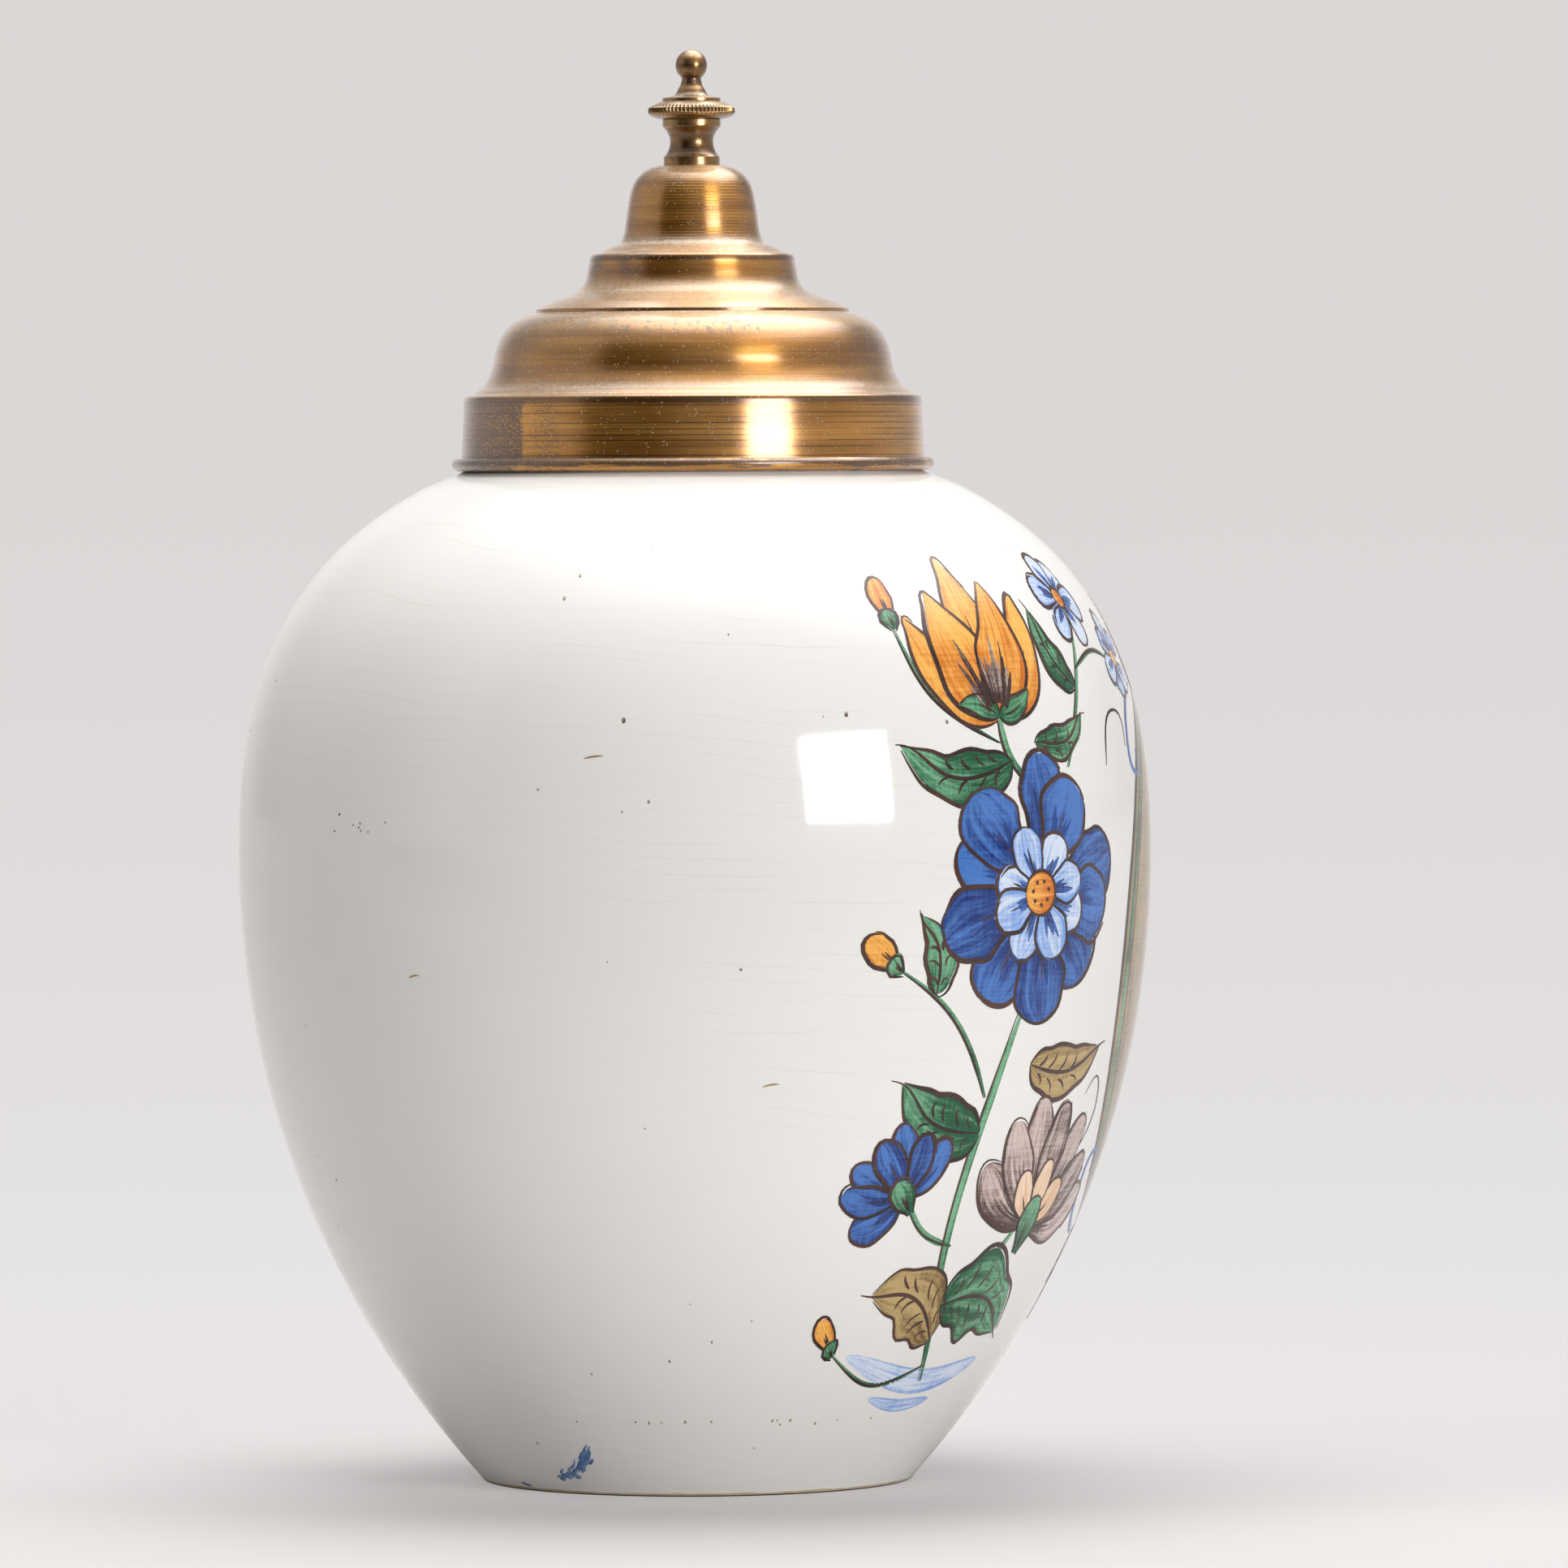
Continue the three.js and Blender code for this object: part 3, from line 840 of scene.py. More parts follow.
# %% Where the lid's marks lie
LID_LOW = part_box("lid_shell")[0].z
BEAD_LOW = LID_LOW + 0.6 * MM
BEAD_TOP = LID_LOW + 3.1 * MM
SKIRT_TOP = LID_LOW + 16.4 * MM
CROWN_LOW = LID_LOW + 31.5 * MM
CROWN_HIGH = LID_LOW + 36.2 * MM
TIER_LOW = LID_LOW + 45.0 * MM
TIER_HIGH = LID_LOW + 50.0 * MM
DOME_LOW = LID_LOW + 50.5 * MM
STAIN_START = math.radians(47)
STAIN_STOP = math.radians(120)
SPATTER_START = math.radians(8)
SPATTER_STOP = math.radians(75)
SMEAR_START = math.radians(24)
SMEAR_STOP = math.radians(80)


def round_lid(tree, here):
    """The angle of a point round the lid, in radians: 0 faces -X, and it grows towards +Y."""
    parts = parts_of(tree, here)
    return calc(tree, "ARCTAN2", parts[1], times(tree, parts[0], -1.0))


def skirt_stain(tree, here, height, angle, grains, dots):
    """The brown stain at one side of the skirt, grained, with a fringe of dots before it."""
    frayed = times(tree, calc(tree, "SUBTRACT", noise(tree, here, 170.0, 4.0, 0.65), 0.5), 0.16)
    front = plus(tree, angle, frayed)
    fading = remap(tree, angle, STAIN_STOP, STAIN_STOP + 0.5, 1.0, 0.0)
    on_skirt = remap(tree, height, SKIRT_TOP, SKIRT_TOP - 0.5 * MM)
    solid = remap(tree, front, STAIN_START - 0.012, STAIN_START + 0.012)
    solid = times(tree, solid, rest_of(tree, times(tree, grains, 0.85)))
    rise = remap(tree, front, STAIN_START - 0.24, STAIN_START - 0.17)
    fall = remap(tree, front, STAIN_START - 0.04, STAIN_START - 0.1)
    fringe = times(tree, times(tree, rise, fall), times(tree, dots, 0.75))
    return times(tree, calc(tree, "MAXIMUM", solid, fringe), times(tree, fading, on_skirt))


def old_stain(tree, here, height, grains):
    """All brown stains on the lid: on its skirt, a smear on the upper tier, and spatter."""
    angle = round_lid(tree, here)
    dots = remap(tree, noise(tree, here, 2300.0, 2.0, 0.6), 0.52, 0.58)
    patches = remap(tree, noise(tree, here, 85.0, 2.0), 0.52, 0.62)
    spatter = times(tree, dots, patches, window(tree, angle, SPATTER_START, SPATTER_STOP, 0.3))
    streaks = noise(tree, stretched(tree, here, (120, 120, 420)), 1.0, 4.0, 0.65)
    on_tier = window(tree, height, TIER_LOW, TIER_HIGH, 1 * MM)
    at_side = window(tree, angle, SMEAR_START, SMEAR_STOP, 0.12)
    smear = times(tree, remap(tree, streaks, 0.44, 0.6), on_tier, at_side)
    above = calc(tree, "MAXIMUM", times(tree, spatter, 0.7), times(tree, smear, 0.75))
    return calc(tree, "MAXIMUM", skirt_stain(tree, here, height, angle, grains, dots), above)


def dark_bead(tree, here, height):
    """Old wax and dirt on the rolled rim, rubbed through in streaks, most of all low down."""
    bead = remap(tree, height, BEAD_TOP, BEAD_TOP - 0.4 * MM)
    streaks = noise(tree, stretched(tree, here, (90, 90, 900)), 1.0, 4.0, 0.6)
    rubbed = plus(tree, streaks, remap(tree, height, BEAD_TOP - 1.2 * MM, BEAD_LOW, 0.0, 0.22))
    return times(tree, bead, remap(tree, rubbed, 0.66, 0.58))


print("the lid stands at", round(LID_LOW / MM, 1), "mm")

# %% [markdown]
# ## Old spun brass
# A lid like this is pressed on a turning former with a blunt tool, which leaves fine rings from rim to
# top. The rings draw every highlight out across them, which is what the shader's anisotropy does. Over the
# metal lies old lacquer, a clear coat that mirrors softly. One dirty metal could serve the lid and the
# knob, but the lid is bright and yellow and the knob brown and dull, so one function below makes both
# from the same parts, each with its own colours and its own share of age.

# %% The metal
RING_CUT = 0.018 * MM
TARNISH_BROWN = linear(84, 60, 40)
LACQUER_ROUGHNESS = 0.18
LACQUER_IOR = 1.65


def metal_colour(tree, bright, dull, rings, age, edge, deep):
    """Bright and dull by rings, brown in clouds, in deep rings and in hollows."""
    colour = mix(tree, remap(tree, rings["Tone"], 0.3, 0.7), bright, dull)
    colour = mix(tree, times(tree, age["Clouds"], 0.55), colour, TARNISH_BROWN)
    colour = mix(tree, deep, colour, linear(48, 32, 18))
    return mix(tree, remap(tree, edge, -0.1, -0.7, 0.0, 0.6), colour, TARNISH_BROWN)


def upper_lid_with_painted_shade(tree, colour, edge, height, above_skirt):
    """The lid above its skirt, a little darker, with painted shade on its upright faces and a painted shadow
    under its edges.
    """
    # Darker above the skirt, and darker still on upright faces there, as painted shade.
    upright = rest_of(tree, remap(tree, facing_up(tree), 0.3, 0.8))
    darker_and_shaded = times(tree, above_skirt, calc(tree, "MULTIPLY_ADD", upright, 0.18, 0.1))
    colour = mix(tree, darker_and_shaded, colour, linear(44, 30, 14))
    # Painted shadow: a dark band on upright faces just under each outer edge, from the rolled rim up.
    above_bead = remap(tree, height, BEAD_TOP, BEAD_TOP + 1 * MM, 0.0, 0.75)
    painted_shadow_under_edge = times(tree, remap(tree, edge, 0.04, 0.4), upright)
    return mix(tree, times(tree, painted_shadow_under_edge, above_bead), colour, linear(70, 46, 28))


def lacquered(shader, lacquer, drawn_out):
    """Draws highlights out across the rings, and lays an old lacquer over the metal."""
    shader.inputs["Anisotropic"].default_value = drawn_out
    shader.inputs["Anisotropic Rotation"].default_value = 0.25
    shader.inputs["Coat Weight"].default_value = lacquer
    shader.inputs["Coat Roughness"].default_value = LACQUER_ROUGHNESS
    shader.inputs["Coat IOR"].default_value = LACQUER_IOR


print("old brown tarnish is", [round(part, 3) for part in TARNISH_BROWN[:3]], "of full light")

# %% [markdown]
# ## What only one of the brasses has
# The lid has been handled, wiped and stained far more than the knob. Its marks could be a second material
# over the first, but they change several things at once: the colour, how rough it is, how deep its rings
# look, and how much of the metal is covered. These four are kept together as a look, and each function
# adds its own marks to it.

# %% Marks of the lid and of the knob
STAIN_BROWN = linear(86, 64, 48)
WAX_BROWN = linear(78, 54, 36)


def add_lid_marks(tree, look, here, height, edge, rings, age):
    """Painted shade on the top, grey pocks at the crown, stains, a waxed rim, and deeper rings and chatter
    above.
    """
    above_skirt = remap(tree, height, SKIRT_TOP, SKIRT_TOP + 1 * MM)
    look.roughness = calc(tree, "MULTIPLY_ADD", above_skirt, 0.04, look.roughness)
    look.colour = upper_lid_with_painted_shade(tree, look.colour, edge, height, above_skirt)
    crown = window(tree, height, CROWN_LOW, CROWN_HIGH, 1.5 * MM)
    look.cover = times(tree, age["Pocks"], 0.8, plus(tree, times(tree, crown, 0.95), 0.05))
    look.colour = mix(tree, look.cover, look.colour, linear(96, 92, 84))
    stain = old_stain(tree, here, height, age["Grains"])
    look.colour = mix(tree, times(tree, stain, 0.85), look.colour, STAIN_BROWN)
    bead = dark_bead(tree, here, height)
    look.colour = mix(tree, times(tree, bead, 0.85), look.colour, WAX_BROWN)
    stained = times(tree, calc(tree, "MAXIMUM", stain, bead), 0.4)
    look.cover = calc(tree, "MAXIMUM", look.cover, stained)
    on_dome = remap(tree, height, DOME_LOW, DOME_LOW + 2 * MM)
    look.cut = plus(tree, look.cut, times(tree, rings["Chatter"], on_dome, 0.8))
    look.cut = times(tree, look.cut, calc(tree, "MULTIPLY_ADD", above_skirt, 1.4, 1.0))
    look.dust = times(tree, look.dust, rest_of(tree, times(tree, bead, 0.7)))


def add_knob_marks(tree, look, age):
    """Edges rubbed bright, and dark pocks."""
    look.colour = mix(tree, times(tree, age["Rubbed"], 0.35), look.colour, linear(186, 148, 92))
    look.cover = times(tree, age["Pocks"], 0.35)
    look.colour = mix(tree, look.cover, look.colour, linear(60, 46, 36))


def add_dust(tree, look, motes):
    """Dust and motes over everything, which are neither metal nor smooth."""
    look.colour = mix(tree, look.dust, look.colour, linear(219, 201, 174))
    look.colour = mix(tree, motes, look.colour, linear(232, 222, 208))
    dusted = calc(tree, "MAXIMUM", look.cover, times(tree, look.dust, 0.8))
    look.cover = calc(tree, "MAXIMUM", dusted, motes)
    look.roughness = calc(tree, "ADD", look.roughness, times(tree, look.cover, 0.3), clamp=True)


print("mark helpers:", ", ".join(f.__name__ for f in (add_lid_marks, add_knob_marks, add_dust)))

# %% The two brasses
def brass(name, bright, dull, smooth, drawn_out, lacquer, pitch, lines, tarnished, dusty, is_lid=False):
    """A brass: its bright and dull colours, how smooth it is, and how much age lies on it."""
    made, tree, shader = material(name)
    lacquered(shader, lacquer, drawn_out)
    here = object_place(tree)
    edge, along = carried(tree, "edge"), carried(tree, "along")
    rings = use(tree, "ring marks", {"Place": here, "Along": along, "Pitch": pitch, "Deep Width": lines})
    age = use(tree, "tarnish", {"Place": here, "Edge": edge, "Amount": tarnished})
    hollows = edge if is_lid else times(tree, edge, 0.4)
    lying = use(tree, "settled dust", {"Place": here, "Edge": hollows, "Amount": dusty})
    deep = times(tree, rings["Deep"], 0.8)
    if is_lid:
        height = parts_of(tree, here)[2]
        deep = times(tree, deep, remap(tree, height, SKIRT_TOP, SKIRT_TOP + 2 * MM, 1.0, 0.25))
    roughness = remap(tree, rings["Height"], 0.3, 0.7, smooth, smooth + 0.1)
    look = SimpleNamespace(
        colour=metal_colour(tree, bright, dull, rings, age, edge, deep),
        roughness=plus(tree, roughness, times(tree, age["Clouds"], 0.12)),
        cut=calc(tree, "SUBTRACT", rings["Height"], deep),
        dust=lying["Dust"],
    )
    if is_lid:
        add_lid_marks(tree, look, here, height, edge, rings, age)
    else:
        add_knob_marks(tree, look, age)
    add_dust(tree, look, times(tree, lying["Motes"], 1.0 if is_lid else 0.25))
    connect(tree, shader.inputs["Base Color"], look.colour)
    connect(tree, shader.inputs["Roughness"], look.roughness)
    connect(tree, shader.inputs["Metallic"], calc(tree, "SUBTRACT", 1.0, look.cover, clamp=True))
    connect(tree, shader.inputs["Normal"], bump(tree, look.cut, RING_CUT))
    return made


spun_brass = brass(
    "old spun brass",
    linear(214, 155, 70),
    linear(172, 116, 42),
    smooth=0.265,
    drawn_out=0.9,
    lacquer=0.9,
    pitch=0.5,
    lines=0.16,
    tarnished=0.35,
    dusty=0.78,
    is_lid=True,
)
turned_brass = brass(
    "old turned brass",
    linear(152, 114, 62),
    linear(98, 70, 34),
    smooth=0.27,
    drawn_out=0.4,
    lacquer=0.6,
    pitch=0.35,
    lines=0.03,
    tarnished=0.5,
    dusty=0.6,
)
for finish in (spun_brass, turned_brass):
    print(finish.name + ":", len(finish.node_tree.nodes), "nodes")

# %% [markdown]
# ## The jar
# The body was thrown on a wheel, and turning its outline makes it in the same way. It could be a stack of
# scaled circles, but the frame's own outline holds the hollow inside as well. It stands back from its CAD
# solid by a hair, so that the paint that goes on it later stays inside the solid's box.

# %% The jar's body
PAINT_ROOM = 0.2
JAR_SIDES = 192
WALL_PITCH = 2.0
WALL_SHARP = 50
WALL_EASE = 0.3


def outer_side(rows):
    """1 on the outer half of an outline that starts at the foot, and 0 after its lip."""
    lip = int(np.argmax(rows[:, 1]))
    return (np.arange(len(rows)) <= lip).astype(float)


def set_back(outline, room):
    """An outline whose outer wall is moved inwards by a small room, most where it is widest."""
    rows, closed = outline
    moved = rows.copy()
    moved[:, 0] -= room * outer_side(rows) * rows[:, 0] / rows[:, 0].max()
    return moved, closed


jar_outline = set_back(outline_of("jar_body"), PAINT_ROOM)
jar = turned("jar_body_glazed", jar_outline, JAR_SIDES, WALL_PITCH, WALL_SHARP, WALL_EASE)
fit(jar, "jar", "tin_glaze", glaze, "jar_body")

# %% [markdown]
# ## The lid
# The lid is one sheet of brass with a rim rolled outwards, and the knob's fixed foot, a small spool, stands
# on it. A washer lies under the crown. All three are turned. They could have a coarse pitch, but the rings
# in their highlights need faces of well under a millimetre along the outline.

# %% The lid, its spool and its washer
LID_SIDES = 192
SMALL_SIDES = 96

lid = turned("lid_shell_spun", outline_of("lid_shell"), LID_SIDES, pitch=0.62, ease=0.12)
fit(lid, "lid", "spun_brass", spun_brass, "lid_shell")
spool = turned("finial_spool_turned", outline_of("finial_spool"), SMALL_SIDES, pitch=0.3, sharp=38)
fit(spool, "lid", "turned_brass", turned_brass, "finial_spool")
washer = turned("lid_washer_turned", outline_of("lid_washer"), 64, pitch=0.5)
fit(washer, "lid", "spun_brass", spun_brass, "lid_washer")

# %% [markdown]
# ## Stud and nut
# A threaded stud with a square nut holds the knob's stack to the crown from inside. They could be left as
# smooth rods, but they show when the lid is lifted. The thread is a small rise and fall of the radius that
# climbs as it goes round, and the nut is a turned ring pressed square, so both are still turned pieces with
# a shape added.

# %% The fastening inside the lid
THREAD_PITCH = 0.7
THREAD_DEPTH = 0.22
THREADED_FROM = 1.45
NUT_HALF = 3.25
NUT_ROUND = 1.36
NUT_WALL = 0.6
NUT_BORE = 1.6
BEVEL_IN = 0.35
BEVEL_UP = 0.3


def threaded(radii, heights, angles):
    """Cuts a screw thread into the part of a rod that is wide enough."""
    turn = heights / THREAD_PITCH - angles / (2 * np.pi)
    depth = THREAD_DEPTH * np.abs(2 * (turn - np.floor(turn)) - 1)
    return np.where(radii > THREADED_FROM, radii - depth, radii)


def squared(radii, heights, angles):
    """Presses a ring's outside into a square with slightly rounded corners."""
    reach = 1 / np.maximum(np.abs(np.cos(angles)), np.abs(np.sin(angles)))
    return np.where(radii > NUT_HALF - NUT_WALL, radii * np.minimum(reach, NUT_ROUND), radii)


def rod_outline(node, step):
    """A rod's outline with points close enough along its side to carry a thread."""
    rows, closed = outline_of(node)
    low, high = rows[2], rows[3]
    count = round((high[1] - low[1]) / step)
    side = [low + (high - low) * k / count for k in range(1, count)]
    return np.vstack([rows[:3], side, rows[3:]]), closed


def nut_outline():
    """A ring's outline at the height of the nut, with its outer corners cut off."""
    low, high = ((corner / MM).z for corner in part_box("lid_nut"))
    return np.array([
        (NUT_BORE, low),
        (NUT_HALF - BEVEL_IN, low),
        (NUT_HALF, low + BEVEL_UP),
        (NUT_HALF, high - BEVEL_UP),
        (NUT_HALF - BEVEL_IN, high),
        (NUT_BORE, high),
    ]), True


stud = turned("finial_stud_threaded", rod_outline("finial_stud", THREAD_PITCH / 6), 24, shape=threaded)
fit(stud, "lid", "turned_brass", turned_brass, "finial_stud")
nut = turned("lid_nut_square", nut_outline(), SMALL_SIDES, pitch=0.5, sharp=35, ease=0.08, shape=squared)
fit(nut, "lid", "turned_brass", turned_brass, "lid_nut")

# %% [markdown]
# ## The knob
# The knob has a milled ring for the fingers. A milling wheel rolls V-shaped notches into the rim of a
# smooth, lens-shaped ring. They could be cut with a boolean, but on a turned piece it is enough to pull
# the radius in at each notch, only near the rim.

# %% The knob's pieces
NOTCHES = 64
NOTCH_DEPTH = 0.55
SIDES_PER_NOTCH = 8
RIM_FADE = 0.35
NOTCH_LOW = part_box("finial_milled_ring")[0].z / MM + 1.35


def milled(radii, heights, angles):
    """Pulls the rim in at each notch, and leaves the slopes above and below it smooth."""
    rim = radii.max()
    near_rim = np.clip((radii - (rim - NOTCH_DEPTH - RIM_FADE)) / RIM_FADE, 0, 1)
    near_rim = near_rim * np.clip((heights - NOTCH_LOW) / RIM_FADE, 0, 1)
    wave = np.abs(((angles * NOTCHES / (2 * np.pi)) % 1) * 2 - 1)
    return radii - NOTCH_DEPTH * wave * near_rim


ring_outline = outline_of("finial_milled_ring")
ring_sides = NOTCHES * SIDES_PER_NOTCH
ring = turned("finial_milled_ring_fine", ring_outline, ring_sides, pitch=0.35, sharp=61, shape=milled)
fit(ring, "knob", "turned_brass", turned_brass, "finial_milled_ring")
knob = turned("finial_knob_turned", outline_of("finial_knob"), SMALL_SIDES, pitch=0.25, sharp=38, ease=0.1)
fit(knob, "knob", "turned_brass", turned_brass, "finial_knob")

# %% [markdown]
# ## Paint in the glaze
# The painter works on the raw white glaze with water colours made of metal oxides: cobalt for blue, copper
# for green, antimony for orange and tan, manganese for brown. The colour is thin where the brush was dry
# and deep where it stopped. A picture could be projected on the jar, but then nothing could be repainted.
# Each brush stroke here is a thin skin of its own on the wall, and carries how far along and across it
# every point lies, so the shader can streak it the way a brush does.

# %% How a brush leaves its colour
def brush_hairs(tree, brush, own_streaks):
    """Streaks along a stroke, each stroke with its own."""
    along, across = times(tree, brush[0], 0.045), times(tree, brush[1], 4.5)
    return noise(tree, vector_of(tree, along, across, own_streaks), 1.0, 5.0, 0.65)


def raw_grain(tree, here):
    """A faint grain of level and upright lines, which breaks the colour up."""
    level = noise(tree, stretched(tree, here, (90, 90, 1400)), 1.0, 3.0, 0.7)
    parts = parts_of(tree, here)
    round_jar = times(tree, calc(tree, "ARCTAN2", parts[1], parts[0]), 130.0)
    upright = noise(tree, vector_of(tree, round_jar, times(tree, parts[2], 110.0)), 1.0, 3.0, 0.7)
    return calc(tree, "MULTIPLY_ADD", plus(tree, level, upright), 0.8, -0.3)


def brush_work():
    """How dense the colour is within a stroke: streaks along it, pools at its edges and a fading end."""
    tree, given, out = group(
        "brush work",
        [
            ("Brush", "Vector", None),
            ("Flow", "Float", 0.0),
            ("Place", "Vector", None),
            ("Fade", "Float", 0.3),
            ("Pool", "Float", 0.3),
        ],
        ["Density"],
    )
    brush = parts_of(tree, given["Brush"])
    own_streaks = times(tree, brush[2], 17.3)
    streaks = times(tree, brush_hairs(tree, brush, own_streaks), 2.3)
    blots = times(tree, noise(tree, given["Place"], 75.0, 3.0, 0.55), 1.2)
    dense = plus(tree, raw_grain(tree, given["Place"]), plus(tree, streaks, blots))
    dense = calc(tree, "MULTIPLY_ADD", calc(tree, "SINE", own_streaks), 0.16, dense)
    edge = calc(tree, "POWER", calc(tree, "ABSOLUTE", brush[1]), 6.0)
    dense = calc(tree, "MULTIPLY_ADD", edge, given["Pool"], dense)
    start = calc(tree, "POWER", rest_of(tree, given["Flow"]), 2.0)
    dense = calc(tree, "MULTIPLY_ADD", start, given["Fade"], dense)
    connect(tree, out["Density"], remap(tree, dense, 1.9, 2.9))
    return tree


print("brush work:", len(brush_work().nodes), "nodes")

# %% [markdown]
# ## The pigments
# Each pigment has a colour where it lies deep and another where it is thin. They could share one material
# that picks its colour by a number, but separate ones are easier to find and change by name. All of them
# lie under the gloss of the glaze, and its cracks run through them.

# %% Pigments
def pigment(name, deep, thin, fade=0.3, pool=0.3):
    """A water colour under the gloss of the glaze: its colour where it is deep and where it is thin."""
    made, tree, shader = material(name)
    cracks = glossy_skin(tree, shader)
    brush, flow = carried(tree, "brush", "Vector"), carried(tree, "flow")
    inputs = {"Brush": brush, "Flow": flow, "Place": object_place(tree), "Fade": fade, "Pool": pool}
    colour = mix(tree, use(tree, "brush work", inputs)["Density"], thin, deep)
    colour = mix(tree, times(tree, cracks, 0.12), colour, linear(120, 100, 84))
    connect(tree, shader.inputs["Base Color"], colour)
    return made


PIGMENTS = {
    "outline": pigment("manganese line", linear(34, 22, 20), linear(88, 60, 52), 0.5, 0.0),
    "cobalt": pigment("cobalt blue", linear(16, 46, 116), linear(76, 124, 198), 0.6, 0.3),
    "deep_cobalt": pigment("deep cobalt", linear(12, 28, 84), linear(38, 76, 150), 0.5, 0.0),
    "pale_blue": pigment("thin cobalt", linear(118, 160, 226), linear(218, 230, 246), 0.3, 0.5),
    "orange": pigment("antimony orange", linear(206, 112, 18), linear(252, 188, 92), 0.6, 0.3),
    "copper": pigment("copper green", linear(8, 84, 50), linear(122, 184, 142), 0.5, 0.4),
    "ochre": pigment("ochre", linear(110, 84, 40), linear(192, 166, 112), 0.4, 0.4),
    "manganese": pigment("thin manganese", linear(70, 44, 38), linear(214, 194, 186), 0.8, 0.7),
    "peach": pigment("peach wash", linear(226, 184, 142), linear(246, 222, 196), 0.2, 0.3),
    "smudged_blue": pigment("smudged cobalt", linear(60, 104, 162), linear(140, 174, 210), 0.7, 0.1),
    "tan": pigment("tan ground", linear(124, 102, 66), linear(176, 154, 114), 0.0, 0.3),
}
print("pigments:", ", ".join(PIGMENTS))

# %% [markdown]
# ## The wall as a sheet to paint on
# To draw on a round jar it helps to unroll it. A point of the drawing has a distance round the widest part
# from the middle of the front, positive towards the camera's side, and a height above the table. It could
# be wrapped round by a shrinkwrap modifier, but the outline gives the radius at every height, so each
# point is put on the wall by a sum. The other side of the drawing is the same with the sign turned.

# %% From the sheet to the wall
FOOT_EDGE = 50.2
WALL = refined(jar_outline, WALL_PITCH, WALL_SHARP, WALL_EASE)
WALL_TOP = int(np.argmax(WALL[0][:, 1]))
WALL_BOTTOM = int(np.argmax(WALL[0][:, 0] > FOOT_EDGE))
WIDEST = WALL[0][:, 0].max()

painter = random.Random(11)
hand = SimpleNamespace(side=1, strokes=0)


def on_wall(plane, lift):
    """Places in metres and directions on the jar's wall, of drawn points in millimetres."""
    places, facing = (part[WALL_BOTTOM:WALL_TOP] for part in WALL)
    angle = plane[:, 0] / WIDEST
    radius = np.interp(plane[:, 1], places[:, 1], places[:, 0])
    out = np.interp(plane[:, 1], places[:, 1], facing[:, 0])
    up = np.interp(plane[:, 1], places[:, 1], facing[:, 1])
    wide = radius + out * lift
    where = np.column_stack([-np.sin(angle) * wide, -np.cos(angle) * wide, plane[:, 1] + up * lift])
    normal = np.column_stack([-np.sin(angle) * out, -np.cos(angle) * out, up])
    return where * MM, normal


front = on_wall(np.array([(0.0, 120.0)]), 0.0)[0][0] / MM
print("the middle of the front at 120 mm lies at", [round(float(c), 1) for c in front])

# %% [markdown]
# ## Strokes on the wall
# A stroke is a ribbon: a line through a few points, with a width that swells and thins. A curve object
# with a bevel could draw it, but a grid of points of its own can carry the brush's direction. It is laid
# on the wall as a closed skin three hundredths of a millimetre high, whose underside is sunk into the
# wall, so that it never floats. Later strokes lie a little higher than those that they cross.

# %% Lay a stroke
PAINT_LIFT = 0.03
LAYER_LIFT = 0.011
PAINT_ROOT = -0.05
OWN_STREAKS = 0.37
STREAK_RANGE = 8

painted = {
    name: {"vertices": [], "normals": [], "faces": [], "brush": [], "flow": []}
    for name in PIGMENTS
}


def skin_faces(rows, columns, mirrored):
    """The faces of a closed skin over a grid of points: its outside, its underside and its rim."""
    number = np.arange(rows * columns).reshape(rows, columns)
    corners = [number[:-1, :-1], number[1:, :-1], number[1:, 1:], number[:-1, 1:]]
    quads = np.stack(corners, axis=2).reshape(-1, 4)
    rim = np.concatenate([number[:, 0], number[-1, 1:], number[-2::-1, -1], number[0, -2:0:-1]])
    if mirrored:
        quads, rim = quads[:, ::-1], rim[::-1]
    below = rows * columns
    after = np.roll(rim, -1)
    sides = np.stack([after, rim, rim + below, after + below], axis=1)
    return np.concatenate([quads, quads[:, ::-1] + below, sides])


def put(colour, grid, layer):
    """Lays a grid of drawn points on the wall, as the next stroke, in one closed skin of paint."""
    hand.strokes += 1
    own_number = (hand.strokes * OWN_STREAKS) % STREAK_RANGE
    grid = grid * (hand.side, 1)
    rows, columns = grid.shape[:2]
    flat = grid.reshape(-1, 2)
    pot = painted[colour]
    start = sum(len(part) for part in pot["vertices"])
    length = np.concatenate([[0], np.cumsum(step_lengths(grid[:, columns // 2]))])
    across = np.tile(np.linspace(-1, 1, columns), rows)
    brush = np.column_stack([np.repeat(length, columns), across, np.full(len(flat), own_number)])
    flow = np.repeat(length / max(length[-1], 0.01), columns)
    for lift in (PAINT_LIFT + LAYER_LIFT * layer, PAINT_ROOT):
        where, normal = on_wall(flat, lift)
        for title, rows_of in (("vertices", where), ("normals", normal), ("brush", brush), ("flow", flow)):
            pot[title].append(rows_of)
    ahead = grid[rows // 2, 0] - grid[rows // 2 - 1, 0]
    aside = grid[rows // 2, 1] - grid[rows // 2, 0]
    mirrored = ahead[0] * aside[1] - ahead[1] * aside[0] > 0
    pot["faces"].append(skin_faces(rows, columns, mirrored) + start)


print("pots of paint:", len(painted))

# %% Draw a ribbon
THINNEST = 0.07
COLUMN_WIDTH = 1.9


def edge_waves(share, wobble):
    """How much wider or narrower each side of a stroke runs along its length, by an unsteady hand."""
    waves = np.zeros((2, len(share)))
    if wobble:
        for k in range(2):
            beats = painter.uniform(1.2, 2.6)
            waves[k] = wobble * np.sin(2 * np.pi * (beats * share + painter.random()))
    return 1 + waves


